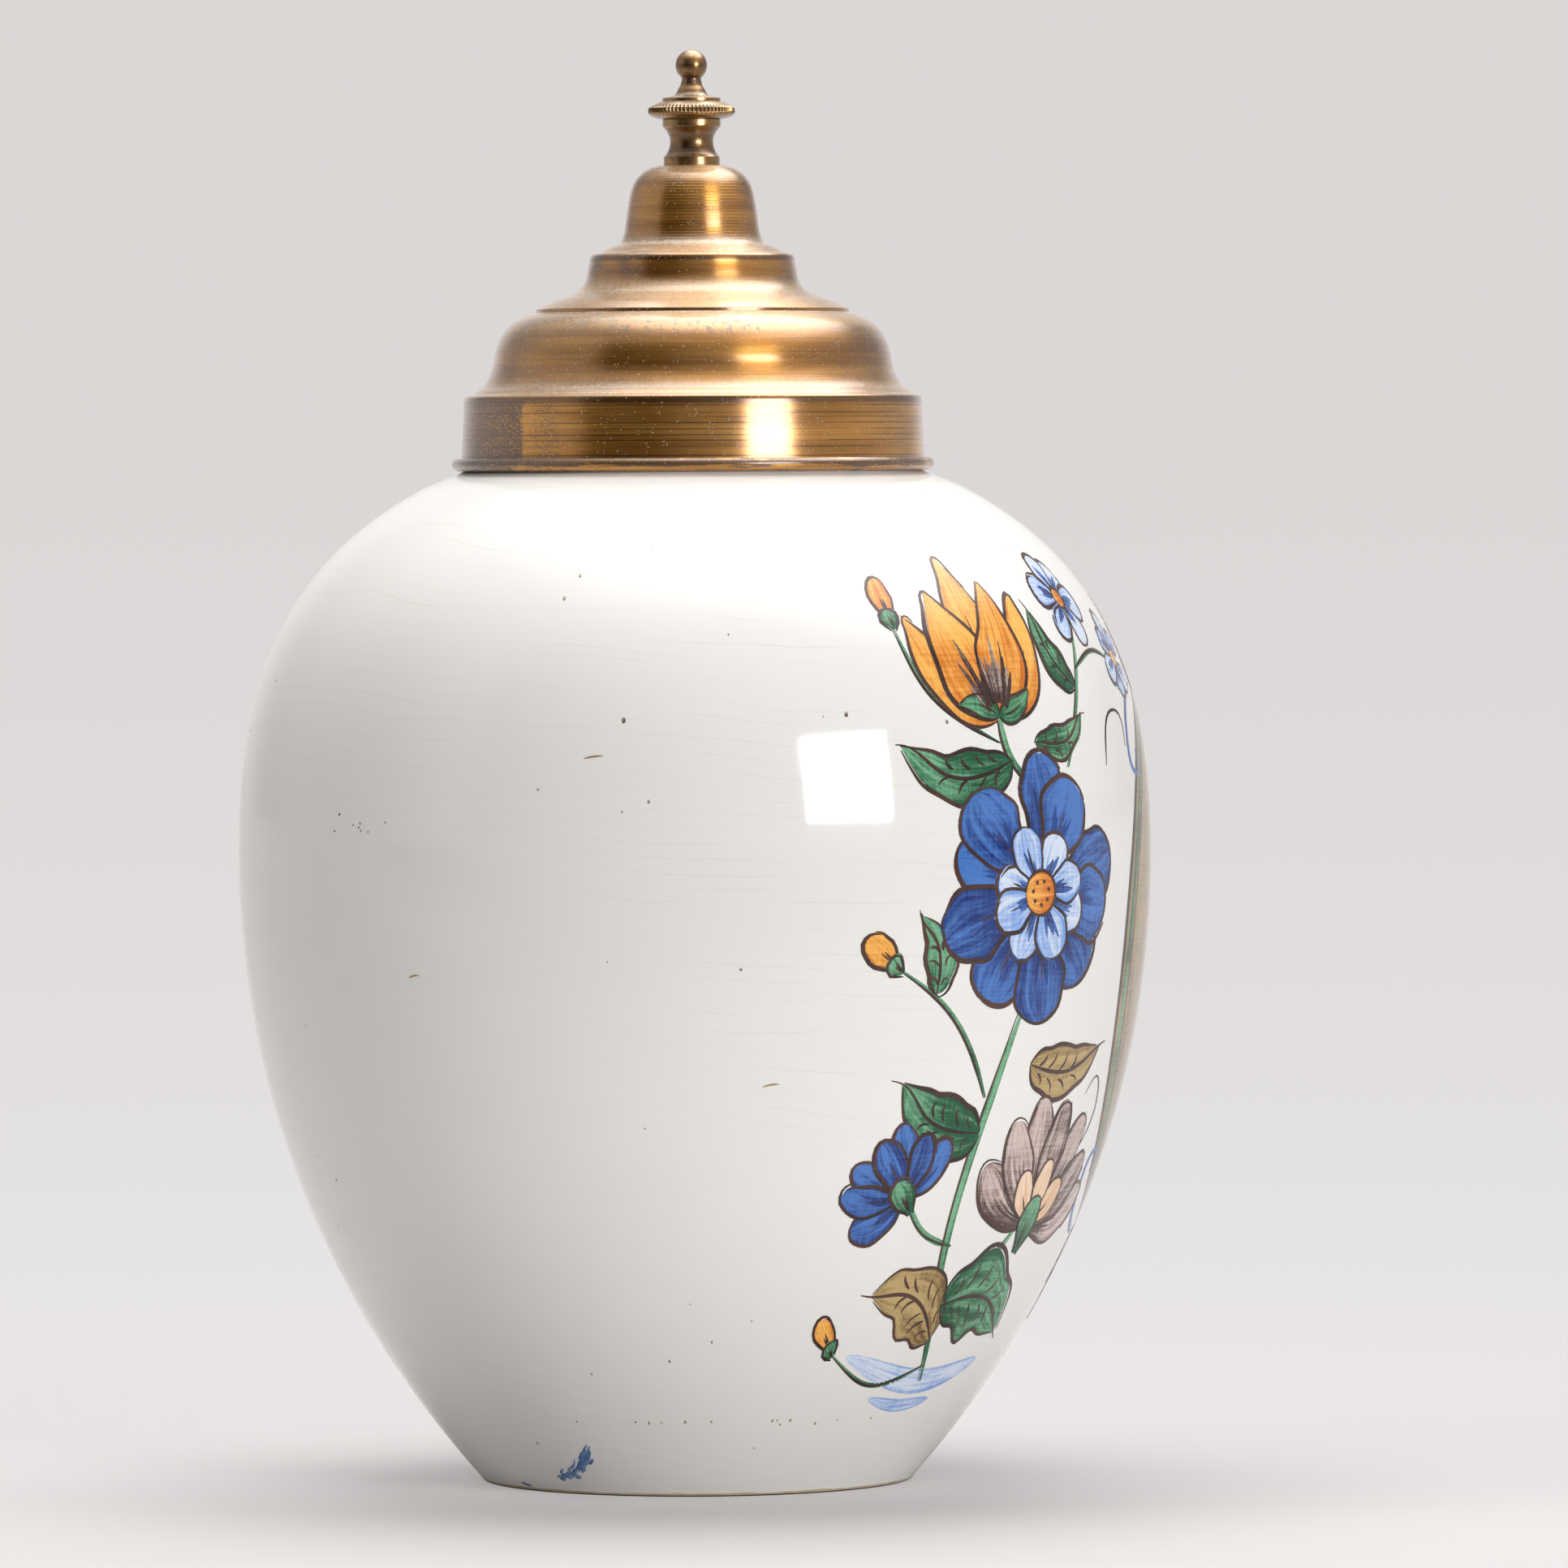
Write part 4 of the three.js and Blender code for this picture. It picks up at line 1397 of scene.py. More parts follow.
def ribbon(points, profile, width, finest=1.4, wobble=0.0):
    """A grid about a smooth line through points. Profile gives the width's share at each share of length."""
    dense, directions = bent(points, 0.6)
    steps = step_lengths(dense)
    along = np.concatenate([[0], np.cumsum(steps)]) / steps.sum()
    count = max(6, math.ceil(steps.sum() / finest))
    even = np.arange(count + 1) / count
    share = (0.5 - 0.5 * np.cos(np.pi * even) + even) / 2
    spine = np.column_stack([np.interp(share, along, dense[:, i]) for i in range(2)])
    ahead = unit(np.column_stack([np.interp(share, along, directions[:, i]) for i in range(2)]))
    sideways = np.column_stack([-ahead[:, 1], ahead[:, 0]])
    half = np.maximum(profile(share) * width / 2, THINNEST)
    across = np.linspace(-1, 1, max(3, math.ceil(width / COLUMN_WIDTH) + 1))
    left, right = edge_waves(share, wobble)
    uneven = np.where(across[None, :] < 0, left[:, None], right[:, None])
    return spine[:, None, :] + sideways[:, None, :] * (half[:, None] * across[None, :] * uneven)[:, :, None]


sample = ribbon(np.array([(0.0, 0.0), (8.0, 4.0), (20.0, 0.0)]), np.ones_like, 3.0)
print("a stroke of 20 mm is a grid of", sample.shape[0], "by", sample.shape[1], "points")

# %% [markdown]
# ## What a brush can draw
# A painter of such jars fills petals with a full brush and draws their edges with a fine one. The shape of
# a stroke is how its width swells and thins along it. It could be drawn as an outline of many points, but
# a small formula for the width gives the same touch at any length, and a line needs only two or three
# points.

# %% Widths along a stroke
def tapered(share):
    """A line that swells from its start and thins at its end."""
    return np.minimum(1, 0.3 + 3.5 * share) * np.minimum(1, 0.25 + 2.6 * (1 - share))


def rounded_petal(share):
    """Narrow at the root, widest two thirds along, with a round end."""
    rise = 0.24 + 0.76 * np.sin(np.clip(share / 0.62, 0, 1) * np.pi / 2) ** 1.3
    fall = np.sqrt(np.clip(1 - (np.clip(share - 0.62, 0, 1) / 0.38) ** 2, 0, 1))
    return rise * fall


def pointed_leaf(share):
    """Full near the stalk and drawn out to a point."""
    return np.sin(np.pi * np.clip(share, 0, 1) ** 0.72) ** 0.85


def dab(share):
    """A short touch of a full brush."""
    return np.sqrt(np.clip(1 - (2 * share - 1) ** 2, 0, 1))


def steady(share):
    """An even line."""
    return np.ones_like(share)


for profile in (tapered, rounded_petal, pointed_leaf, dab, steady):
    widths = profile(np.array([0.0, 0.25, 0.5, 0.75, 1.0]))
    print(profile.__name__ + ":", ", ".join(f"{width:.2f}" for width in widths))

# %% [markdown]
# ## Lines and edges
# The dark lines were drawn last and fast, so they are heavier or lighter each time, miss the colour's edge
# a little and don't quite close. Copies of one edge would look printed. Here a line takes some of the
# filled shape's own edge points, and moves them as one by a small random step.

# %% Draw a line
def stroke(colour, points, width, profile=tapered, layer=0, finest=1.4):
    """One brush stroke through points."""
    put(colour, ribbon(np.array(points, float), profile, width, finest), layer)


def line(points, width=1.0, layer=2, colour="outline"):
    """A drawn line of the fine brush, a little heavier or lighter each time."""
    stroke(colour, points, width * painter.uniform(0.75, 1.3), tapered, layer, 1.3)


def heading(angle):
    """A direction in the drawing, from an angle in degrees: 0 is to the side and 90 is up."""
    return np.array([math.cos(math.radians(angle)), math.sin(math.radians(angle))])


def picked(rows, start, stop, count):
    """Some of an edge's points between two shares of its length, moved as one by an unsteady hand."""
    shares = np.clip(np.linspace(start, stop, count), 0, 1)
    keep = np.unique((shares * (len(rows) - 1)).round().astype(int))
    middle = rows.mean(axis=0)
    looser = middle + (rows[keep] - middle) * painter.uniform(0.97, 1.05)
    return looser + np.array([painter.uniform(-0.5, 0.5), painter.uniform(-0.5, 0.5)])


def ink_edges(grid, width, layer):
    """The drawn edge of a petal: one long line over its tip and a shorter one up its other side."""
    round_tip = np.concatenate([grid[:, 0], grid[-2::-1, -1]])
    line(picked(round_tip, 0.02, painter.uniform(0.55, 0.68), 13), width, layer)
    line(picked(grid[:, -1], 0.03, painter.uniform(0.88, 0.97), 8), width * 0.85, layer)


def disc(colour, centre, radius, layer, ink=0.9):
    """A round dab with a drawn edge."""
    centre = np.array(centre, float)
    ends = [centre - (radius, 0), centre, centre + (radius, 0)]
    stroke(colour, ends, radius * 2, dab, layer)
    if ink:
        edge = [centre + heading(a) * radius for a in range(0, 361, 30)]
        line(edge, ink, layer + 1)


print("line helpers:", ", ".join(f.__name__ for f in (stroke, line, picked, ink_edges, disc)))

# %% [markdown]
# ## Petals and leaves
# A petal is one wide stroke from its root outwards. Deeper strokes rise from the root, and then come the
# veins and the drawn edge. A leaf is drawn in the same way, with lobes, a midrib and side veins. They
# could be flat shapes from a library, but drawn stroke by stroke they show the brush where they overlap.

# %% Petals
def petal(
    colour, root, angle, length, width, bow=0.0, layer=1, ink=1.0, profile=rounded_petal, veins=2, shade=None
):
    """A filled petal with its drawn edge, strokes of a deeper colour from its root, and a few veins."""
    root = np.array(root, float)
    ahead, aside = heading(angle), heading(angle + 90)

    def inside(share, lean):
        bowed = bow * length * math.sin(math.pi * share)
        return root + ahead * length * share + aside * (bowed + lean * share)

    grid = ribbon(np.array([inside(share, 0) for share in (0, 0.35, 0.7, 1)]), profile, width, wobble=0.06)
    put(colour, grid, layer)
    if shade:
        count = max(2, round(width / 3))
        for k in range(count):
            lean = ((k + 0.5) / count - 0.5) * 0.75 * width
            far = painter.uniform(0.35, 0.72)
            hair = [inside(share * far, lean) for share in (0.1, 0.55, 1)]
            stroke(shade, hair, painter.uniform(0.7, 1.7), tapered, layer + 1)
    for k in range(veins):
        lean = (k - (veins - 1) / 2) * 0.24 * width
        far = painter.uniform(0.45, 0.66)
        line([inside(share * far, lean) for share in (0.2, 0.6, 1)], 0.55, layer + 1)
    if ink:
        ink_edges(grid, ink, layer + 1)


def every_second(count):
    """The numbers below count: first the even ones, then the odd ones, which lie over them."""
    return list(range(0, count, 2)) + list(range(1, count, 2))


def ring_of_petals(
    colour, centre, count, inner, length, width, turn=0.0, layer=1, veins=2, ink=1.0, shade=None
):
    """Petals all round a flower, every second one over its neighbours."""
    centre = np.array(centre, float)
    for k in every_second(count):
        angle = turn + 360 * k / count + painter.uniform(-8, 8)
        long = length * painter.uniform(0.84, 1.12)
        wide = width * painter.uniform(0.86, 1.1)
        bow = painter.uniform(-0.08, 0.08)
        root = centre + heading(angle) * inner
        petal(colour, root, angle, long, wide, bow, layer + 2 * (k % 2), ink, veins=veins, shade=shade)


def fan_of_petals(colour, root, angle, spread, count, length, width, ink=1.0, veins=1, shade=None):
    """Petals of a flower seen from the side, every second one over its neighbours."""
    for k in every_second(count):
        lean = spread * (2 * k / (count - 1) - 1) + painter.uniform(-3, 3)
        long = length * painter.uniform(0.88, 1.1)
        bow = lean * 0.0015
        petal(colour, root, angle + lean, long, width, bow, 4 + 2 * (k % 2), ink, veins=veins, shade=shade)


print("seven petals overlap in the order", every_second(7))

# %% Leaves
def side_veins(grid, ahead, veins, layer):
    """Short lines from a leaf's midrib towards both of its edges."""
    middle_column = grid.shape[1] // 2
    for k in range(veins):
        row = int(len(grid) * (0.16 + 0.5 * k / veins))
        further = min(len(grid) - 2, row + max(2, len(grid) // 8))
        for edge in (0, -1):
            start = grid[row, middle_column] * 0.82 + grid[further, edge] * 0.18
            end = grid[row, middle_column] * 0.24 + grid[further, edge] * 0.76
            line([start, (start + end) / 2 + ahead * 0.9, end], 0.65, layer)


def leaf(colour, root, tip, width, bow=0.12, layer=2, veins=5, lobes=0.1):
    """A lobed leaf with a midrib, loose side veins and a drawn edge."""
    root, tip = np.array(root, float), np.array(tip, float)
    ahead = tip - root
    length = math.hypot(*ahead)
    aside = np.array([-ahead[1], ahead[0]]) / length
    spine = [root + ahead * s + aside * bow * length * math.sin(math.pi * s) for s in (0, 0.3, 0.65, 1)]

    def lobed(share):
        return pointed_leaf(share) * (1 - lobes + 2 * lobes * np.abs(np.cos(2.4 * np.pi * share)))

    grid = ribbon(np.array(spine), lobed, width, wobble=0.05)
    put(colour, grid, layer)
    for edge in (0, -1):
        line(picked(grid[:, edge], 0.0, painter.uniform(0.9, 1.0), 12), 1.0, layer + 1)
    past_tip = tip + ahead / length * painter.uniform(1, 4) + aside * painter.uniform(-1, 1)
    line([spine[0], spine[1], spine[2], tip, past_tip], 0.8, layer + 1)
    side_veins(grid, ahead / length, veins, layer + 1)


print("strokes laid so far:", hand.strokes)

# %% [markdown]
# ## The oval panel
# Jars of this kind have a framed panel in front, flanked by painted ornament in strong blue, orange and
# green. The panel here is a bare tan oval with a brown edge and, inside it, a green line and a fine brown
# one. Petals stand above it, leaves below, and a curl at each corner. The oval could be cut out of a flat
# sheet and wrapped round, but it is paint like the rest, so it is one very wide dab of the brush.

# %% The panel in front
PANEL_HALF_WIDTH = 37.6
PANEL_LOW = 58.0
PANEL_HIGH = 183.0
CURL = ((13, 4), (24, 1), (31, -8), (30, -15), (25, -16), (25, -11))


def oval(inset, step=8):
    """Points on the oval, moved inwards by an inset."""
    middle_height = (PANEL_LOW + PANEL_HIGH) / 2
    tall = (PANEL_HIGH - PANEL_LOW) / 2 - inset
    wide = PANEL_HALF_WIDTH - inset
    angles = np.radians(np.arange(0, 361, step))
    return np.column_stack([wide * np.cos(angles), middle_height + tall * np.sin(angles)])


def panel():
    """The oval with its lines, petals above it, leaves below it, and four blue curls."""
    stroke("tan", [(0, PANEL_LOW), (0, 120), (0, PANEL_HIGH)], PANEL_HALF_WIDTH * 2, dab, 0)
    for colour, inset, width in (("outline", 0.3, 1.7), ("copper", 4.2, 2.2), ("outline", 6.6, 0.7)):
        stroke(colour, oval(inset), width, steady, 1, 1.6)
    for lean in (-62, 62, -34, 34, 0):
        root = (lean * 0.07, PANEL_HIGH + 2)
        long = 19 - abs(lean) * 0.08
        petal("cobalt", root, 90 + lean, long, 9.5, lean * 0.002, 3, shade="deep_cobalt")
    for lean in (-66, 66, -35, 35, 0):
        tip = np.array([0, PANEL_LOW - 3]) + heading(270 + lean) * (20 - abs(lean) * 0.07)
        leaf("copper", (lean * 0.05, PANEL_LOW - 3), tip, 8.5, lean * 0.002, 3, veins=3)
    disc("orange", (0, PANEL_HIGH + 2.5), 3.4, 5)
    disc("orange", (0, PANEL_LOW - 3), 3.0, 5)
    for side in (-1, 1):
        for height, reach in ((PANEL_HIGH - 3, 1), (PANEL_LOW + 3, -1)):
            line([(side * u, height + reach * v) for u, v in CURL], 1.3, 2, "cobalt")


panel()
print("strokes on the panel:", hand.strokes)

# %% [markdown]
# ## Flowers
# The ornament at each side is a spray of garden flowers: full blue ones from the front and from the side,
# an orange tulip, a thin-brown bloom and small pale ones with an orange eye. One flower could be stamped
# everywhere, but a painter has a recipe for each kind and never repeats a petal exactly. So each kind is a
# function of a place, a direction and a size, and small turns and lengths vary.

# %% Blue flowers
def stem(points, width=2.2):
    """A green stalk with a drawn line along its side."""
    stroke("copper", points, width, tapered, 0)
    line([(u + width * 0.45, v) for u, v in points], 0.7, 1)


def calyx(root, angle, size, back, long, wide, layer, ink=0.9):
    """The green cup under a flower, in shares of the flower's size."""
    start = np.array(root) - heading(angle) * size * back
    petal("copper", start, angle, size * long, size * wide, 0, layer, ink)


def small_flower(centre, size, turn=0.0, layer=4):
    """Six round thin-blue petals about an orange eye."""
    ring_of_petals("pale_blue", centre, 6, size * 0.2, size, size * 0.8, turn, layer, 1, 0.8, "cobalt")
    disc("orange", centre, size * 0.26, layer + 4, 0.7)


def large_bloom(centre, size):
    """A full blue flower: a ring of deep petals, a ring of thin ones and an orange heart."""
    ring_of_petals(
        "cobalt", centre, 10, size * 0.24, size * 0.76, size * 0.54, 10, 4, 1, 1.1, "deep_cobalt"
    )
    ring_of_petals("pale_blue", centre, 8, size * 0.08, size * 0.44, size * 0.33, 25, 8, 1, 0.8, "cobalt")
    disc("orange", centre, size * 0.17, 12)
    for k in range(7):
        spot = np.array(centre) + heading(k * 360 / 7 + 9) * size * 0.09
        disc("outline", spot, 0.5, 13, 0)


def half_bloom(root, angle, size):
    """A blue flower seen from the side, half open."""
    fan_of_petals("cobalt", root, angle, 78, 7, size, size * 0.46, shade="deep_cobalt")
    calyx(root, angle, size, 0.3, 0.55, 0.42, 8)


print("blue flowers:", ", ".join(f.__name__ for f in (small_flower, large_bloom, half_bloom)))

# %% Orange and brown flowers
TULIP_PETALS = (
    (-38, 0.9, 0.36, 4),
    (38, 0.9, 0.36, 4),
    (0, 1.0, 0.46, 6),
    (-19, 0.86, 0.44, 8),
    (19, 0.86, 0.44, 10),
)


def tulip(root, angle, size):
    """An orange tulip: petals behind, petals in front, and brown strokes that rise from its base."""
    for lean, long, wide, layer in TULIP_PETALS:
        veins = 2 if layer == 4 else 1
        bow = lean * 0.003
        petal("orange", root, angle + lean, size * long, size * wide, bow, layer, 1.1, pointed_leaf, veins)
    for k in range(15):
        lean = (k - 7) * 4.5 + painter.uniform(-2, 2)
        base = np.array(root) + heading(angle + lean * 2) * size * 0.08
        end = base + heading(angle + lean) * size * painter.uniform(0.2, 0.52)
        middle = (base + end) / 2
        stroke(painter.choice(("outline", "manganese")), [base, middle, end], 1.2, tapered, 12)
    for lean in (-70, 70):
        petal("copper", root, angle + lean, size * 0.34, size * 0.14, 0.1, 12, 0.8, pointed_leaf, 1)


def fringed_bloom(root, angle, size):
    """A thin-brown flower seen from the side, its petals spread as a fan."""
    fan_of_petals("manganese", root, angle, 70, 7, size, size * 0.38, 0.8, 3)
    for lean, layer in ((-44, 8), (44, 8), (0, 10)):
        petal("peach", root, angle + lean, size * 0.52, size * 0.27, lean * 0.002, layer, 0.8, veins=1)
    calyx(root, angle, size, 0.24, 0.46, 0.32, 12)


def bud(root, angle, size):
    """An orange bud in a green cup."""
    petal("orange", root, angle, size, size * 0.62, 0, 4, 0.9)
    calyx(root, angle, size, 0.12, 0.45, 0.5, 6, 0.8)


print("a tulip has", len(TULIP_PETALS), "petals, two of them behind")

# %% [markdown]
# ## A flower spray
# The spray climbs beside the panel: stalks first, then leaves, then flowers over them. It could be grown
# by a rule, but a painter places every flower by eye, so each has its own place on the unrolled wall, in
# millimetres. The same spray grows at both sides of the panel, and the hand's small changes go on, so the
# two differ as two painted ones do.

# %% Grow the sprays
STEMS = (
    (2.6, [(80, 26), (91, 52), (90, 84), (80, 116)]),
    (1.9, [(88, 44), (74, 52), (62, 64)]),
    (1.6, [(90, 58), (102, 62), (110, 72)]),
    (2.0, [(80, 162), (87, 170), (88, 179)]),
    (1.4, [(66, 166), (56, 184), (47, 198)]),
    (1.2, [(54, 188), (40, 192), (28, 189)]),
    (1.3, [(90, 92), (104, 112), (118, 122)]),
    (1.2, [(82, 30), (104, 26), (122, 34)]),
    (1.2, [(89, 172), (108, 184), (114, 198)]),
)


def leaves():
    """The spray's large leaves, and then its small ones."""
    leaf("copper", (90, 84), (115, 96), 14, -0.14, veins=4)
    leaf("copper", (86, 44), (50, 36), 19, -0.14, lobes=0.14)
    leaf("ochre", (85, 36), (113, 47), 16, 0.16, lobes=0.12)
    leaf("ochre", (76, 99), (46, 102), 12, 0.12, veins=4)
    leaf("copper", (86, 168), (117, 172), 12, -0.18, veins=4)
    leaf("copper", (57, 184), (66, 202), 8, -0.15, veins=3)
    leaf("copper", (77, 172), (57, 178), 8, 0.15, veins=3)
    leaf("copper", (108, 116), (113, 134), 8, 0.15, veins=3)


def flowers():
    """The spray's flowers and buds, and two tendrils towards the panel."""
    large_bloom((78, 138), 30)
    tulip((88, 178), 83, 36)
    fringed_bloom((60, 62), 98, 29)
    half_bloom((110, 70), 52, 17)
    small_flower((46, 204), 9.5, 15)
    small_flower((24, 190), 8.0, 40)
    bud((118, 122), 42, 11)
    bud((122, 34), 50, 10)
    bud((114, 199), 78, 10.5)
    line([(44, 78), (39, 88), (43, 95), (48, 91)], 0.65)
    line([(48, 166), (41, 178), (34, 177), (34, 170)], 0.65)


for side in (1, -1):
    hand.side = side
    stroke("pale_blue", [(52, 30), (80, 26), (116, 33)], 6, dab, 0)
    stroke("pale_blue", [(70, 21.5), (86, 20.5), (101, 22.5)], 3, dab, 0)
    for width, points in STEMS:
        stem(points, width)
    leaves()
    flowers()
hand.side = 1
print("strokes after the sprays:", hand.strokes)

# %% [markdown]
# ## Traces of the workshop
# Pinholes and grains of iron leave dark dots in the glaze. There is a smudge of cobalt near the foot, where
# the painter's hand touched it, and a row of faint marks above it. They could be noise, but noise is even,
# and these are few and far apart, so each is a small dab. The larger ones and a small cluster have places
# of their own, and the rest are scattered by the seeded hand.

# %% Dots
DOTS = (
    (200, 205, 0.5),
    (197, 210, 0.4),
    (182, 178, 0.62),
    (176, 160, 0.4),
    (130, 179, 0.6),
    (104, 177, 0.5),
)
DASHES = ((191, 169.5, 4.5), (236, 120, 3), (150, 96, 4), (118, 66, 3))
CLUSTER = (
    (252.1, 154.0),
    (249.8, 154.4),
    (249.5, 152.8),
    (247.1, 152.6),
    (241.8, 154.8),
    (250.2, 153.5),
    (258.6, 152.5),
)

for around, height, size in DOTS:
    upwards = [(around, height - size), (around, height), (around, height + size)]
    stroke("manganese", upwards, size * 1.5, dab, 1)
for around, height, long in DASHES:
    sideways = [(around, height), (around - long / 2, height + 0.5), (around - long, height + 0.6)]
    stroke("tan", sideways, 0.4, tapered, 1)
for _ in range(46):
    around, height = painter.uniform(135, 660), painter.uniform(12, 222)
    disc("manganese", (around, height), painter.uniform(0.15, 0.34), 1, 0)
for spot in CLUSTER:
    disc("manganese", spot, 0.24, 1, 0)
for _ in range(12):
    around, height = painter.uniform(78, 200), painter.uniform(17.2, 18.4)
    disc("tan", (around, height), painter.uniform(0.2, 0.42), 1, 0)
print("strokes after the dots:", hand.strokes)

# %% The smudge near the foot
SMUDGE_PATH = np.array([(240, 2.6), (231, 4.2), (224, 5.2), (218, 7.6), (214, 9.6)])
SMUDGE_STROKES = 70

for k in range(SMUDGE_STROKES):
    share = (len(SMUDGE_PATH) - 1) * painter.random() ** 0.7
    step = min(int(share), len(SMUDGE_PATH) - 2)
    ahead = SMUDGE_PATH[step + 1] - SMUDGE_PATH[step]
    start = SMUDGE_PATH[step] + ahead * (share - step)
    start = start + (painter.uniform(-2.4, 2.0), painter.uniform(-0.28, 0.28) * (1 + share))
    away = ahead / np.hypot(*ahead) * painter.uniform(1.8, 4.2) + (0, painter.uniform(-0.5, 0.7))
    middle = start + away / 2 + (0, painter.uniform(-0.15, 0.15))
    stroke("smudged_blue", [start, middle, start + away], painter.uniform(0.45, 0.9), tapered, k % 6)
stroke("smudged_blue", [(262, 1.9), (259, 1.5), (255, 1.2)], 0.6, tapered, 1)
print("strokes in all:", hand.strokes)

# %% [markdown]
# ## Hang the paint
# So far the strokes are only lists of points. Each could become an object of its own, but there are more
# than a thousand. All strokes of one pigment become one piece, with the brush's numbers at its vertices,
# and it rides on the jar.

# %% Hang the paint on the jar
for name, pot in painted.items():
    vertices, normals = np.concatenate(pot["vertices"]), np.concatenate(pot["normals"])
    faces = [face for part in pot["faces"] for face in part.tolist()]
    spread = {"brush": np.concatenate(pot["brush"]), "flow": np.concatenate(pot["flow"])}
    skin = piece("painted_" + name, vertices, faces, normals, spread)
    fit(skin, "jar", "tin_glaze", PIGMENTS[name])

# %% [markdown]
# ## The paper sweep
# The jar stands on a pale sweep of paper. A real sweep curves up far behind the jar. A flat floor that
# turns into light of the backdrop's own colour away from the jar looks the same from every side, and has
# no horizon. Near the jar it is plain matt paper, so it carries the soft shadow. Behind the foot the
# camera sees that shadow lightened by painted light: a glow in the colour of lit paper, as lamps bounced
# about a real studio would do.

# %% The floor
BACKDROP = linear(219, 215, 214)
NEAR_PAPER = linear(237, 235, 236)
MATT_PAPER = linear(199, 195, 195)
LIT_PAPER = linear(226, 222, 222)
FLOOR_RADIUS = 60.0
FADE_LENGTH = 1.2
SHADOW_REACH = 0.12
GLOW_REACH = 0.75
SHADOW_SOFTENED = 0.4
SOFT_FROM = -0.13
SOFT_TO = -0.03

floor_mesh = bmesh.new()
bmesh.ops.create_circle(floor_mesh, cap_ends=True, segments=96, radius=FLOOR_RADIUS)
floor_data = bpy.data.meshes.new("floor")
floor_mesh.to_mesh(floor_data)
floor_mesh.free()
floor = bpy.data.objects.new("floor", floor_data)
bpy.context.scene.collection.objects.link(floor)
print("floor radius", FLOOR_RADIUS, "m")

# %% [markdown]
# ## What the paper gives to other rays
# A glowing floor would also light the jar from below and mirror in it too brightly. It could be made
# darker for all, but then the picture's own background would darken. A shader can ask which kind of ray
# has reached it, so the floor is dimmed for rays that scatter from the jar, and for rays that its gloss
# mirrors from the paper far before it, where a real sweep ends.

# %% The paper
BOUNCE_DIMMED = 0.62
MIRROR_DIMMED = 0.8
MIRROR_NEAR = -0.1
MIRROR_FAR = -1.2


def paper_glow(tree, here, distance, path):
    """Paper as light: the backdrop's colour far away, and dimmer to rays that bounce or mirror."""
    nearness = calc(tree, "DIVIDE", FADE_LENGTH, plus(tree, distance, FADE_LENGTH))
    colour = mix(tree, nearness, BACKDROP, NEAR_PAPER)
    before_jar = remap(tree, parts_of(tree, here)[0], MIRROR_NEAR, MIRROR_FAR, 0.0, MIRROR_DIMMED)
    mirrored = times(tree, path["Is Glossy Ray"], before_jar)
    bounced = times(tree, path["Is Diffuse Ray"], BOUNCE_DIMMED)
    strength = calc(tree, "SUBTRACT", rest_of(tree, mirrored), bounced)
    return add(tree, "Emission", {"Color": colour, "Strength": strength}).outputs[0]


def paper_sweep():
    """Matt paper about the jar, which takes its shadow, and glowing paper away from it."""
    made, tree, shader = material("paper sweep")
    shader.inputs["Base Color"].default_value = MATT_PAPER
    shader.inputs["Roughness"].default_value = 0.7
    here = object_place(tree)
    path = add(tree, "LightPath").outputs
    distance = add(tree, "VectorMath", {0: here}, operation="LENGTH").outputs["Value"]
    glow = paper_glow(tree, here, distance, path)
    # Painted light: behind the foot, camera rays see part of the shadow replaced by a glow of lit paper.
    lit = add(tree, "Emission", {"Color": LIT_PAPER, "Strength": 1.0}).outputs[0]
    behind = remap(tree, parts_of(tree, here)[0], SOFT_FROM, SOFT_TO)
    softened = times(tree, path["Is Camera Ray"], times(tree, behind, SHADOW_SOFTENED))
    near = add(tree, "MixShader", {0: softened, 1: shader.outputs[0], 2: lit}).outputs[0]
    far = remap(tree, distance, SHADOW_REACH, GLOW_REACH)
    blend = add(tree, "MixShader", {0: far, 1: near, 2: glow}).outputs[0]
    connect(tree, tree.nodes["Material Output"].inputs["Surface"], blend)
    return made


floor.data.materials.append(paper_sweep())
print("the floor glows fully from", GLOW_REACH, "m outwards")

# %% [markdown]
# ## What the brass sees
# Metal has no look of its own: it shows the room. A real studio is dark about the camera, pale at the
# sides and behind, and has a wide diffuser overhead. The lamps alone would leave the brass flat. So rays
# that mirror see such a room, rays that come from the camera see the even backdrop, and all other light
# from the world is one plain level. The room has a pale wall behind the jar, a weaker one at each side, and
# a dark sector from the camera round to the picture's left, which ends below the ceiling.

# %% The room round the jar
PLAIN_LEVEL = 0.37
DIFFUSER_LEVEL = 6.5
DIFFUSER_X = (-0.35, 1.0)
DIFFUSER_Y = (-1.05, 0.25)
DIFFUSER_SOFT = 0.8
DARK_FROM = math.radians(-58)
DARK_TO = math.radians(4)
SHARP_EDGE = 0.12
SOFT_OUTWARDS = 0.22
SOFT_INWARDS = 0.5
DARK_SHARE = 0.97


def dark_sector(tree, toward):
    """The dark part of the room. Its angle is 0 at the camera and grows to the picture's right."""
    angle = calc(tree, "ARCTAN2", times(tree, toward[1], -1.0), times(tree, toward[0], -1.0))
    left = remap(tree, angle, DARK_FROM - SHARP_EDGE, DARK_FROM + SHARP_EDGE)
    right = remap(tree, angle, DARK_TO + SOFT_OUTWARDS, DARK_TO - SOFT_INWARDS)
    ceiling = remap(tree, toward[2], 0.5, 0.85)
    return times(tree, times(tree, left, right, DARK_SHARE), rest_of(tree, ceiling))


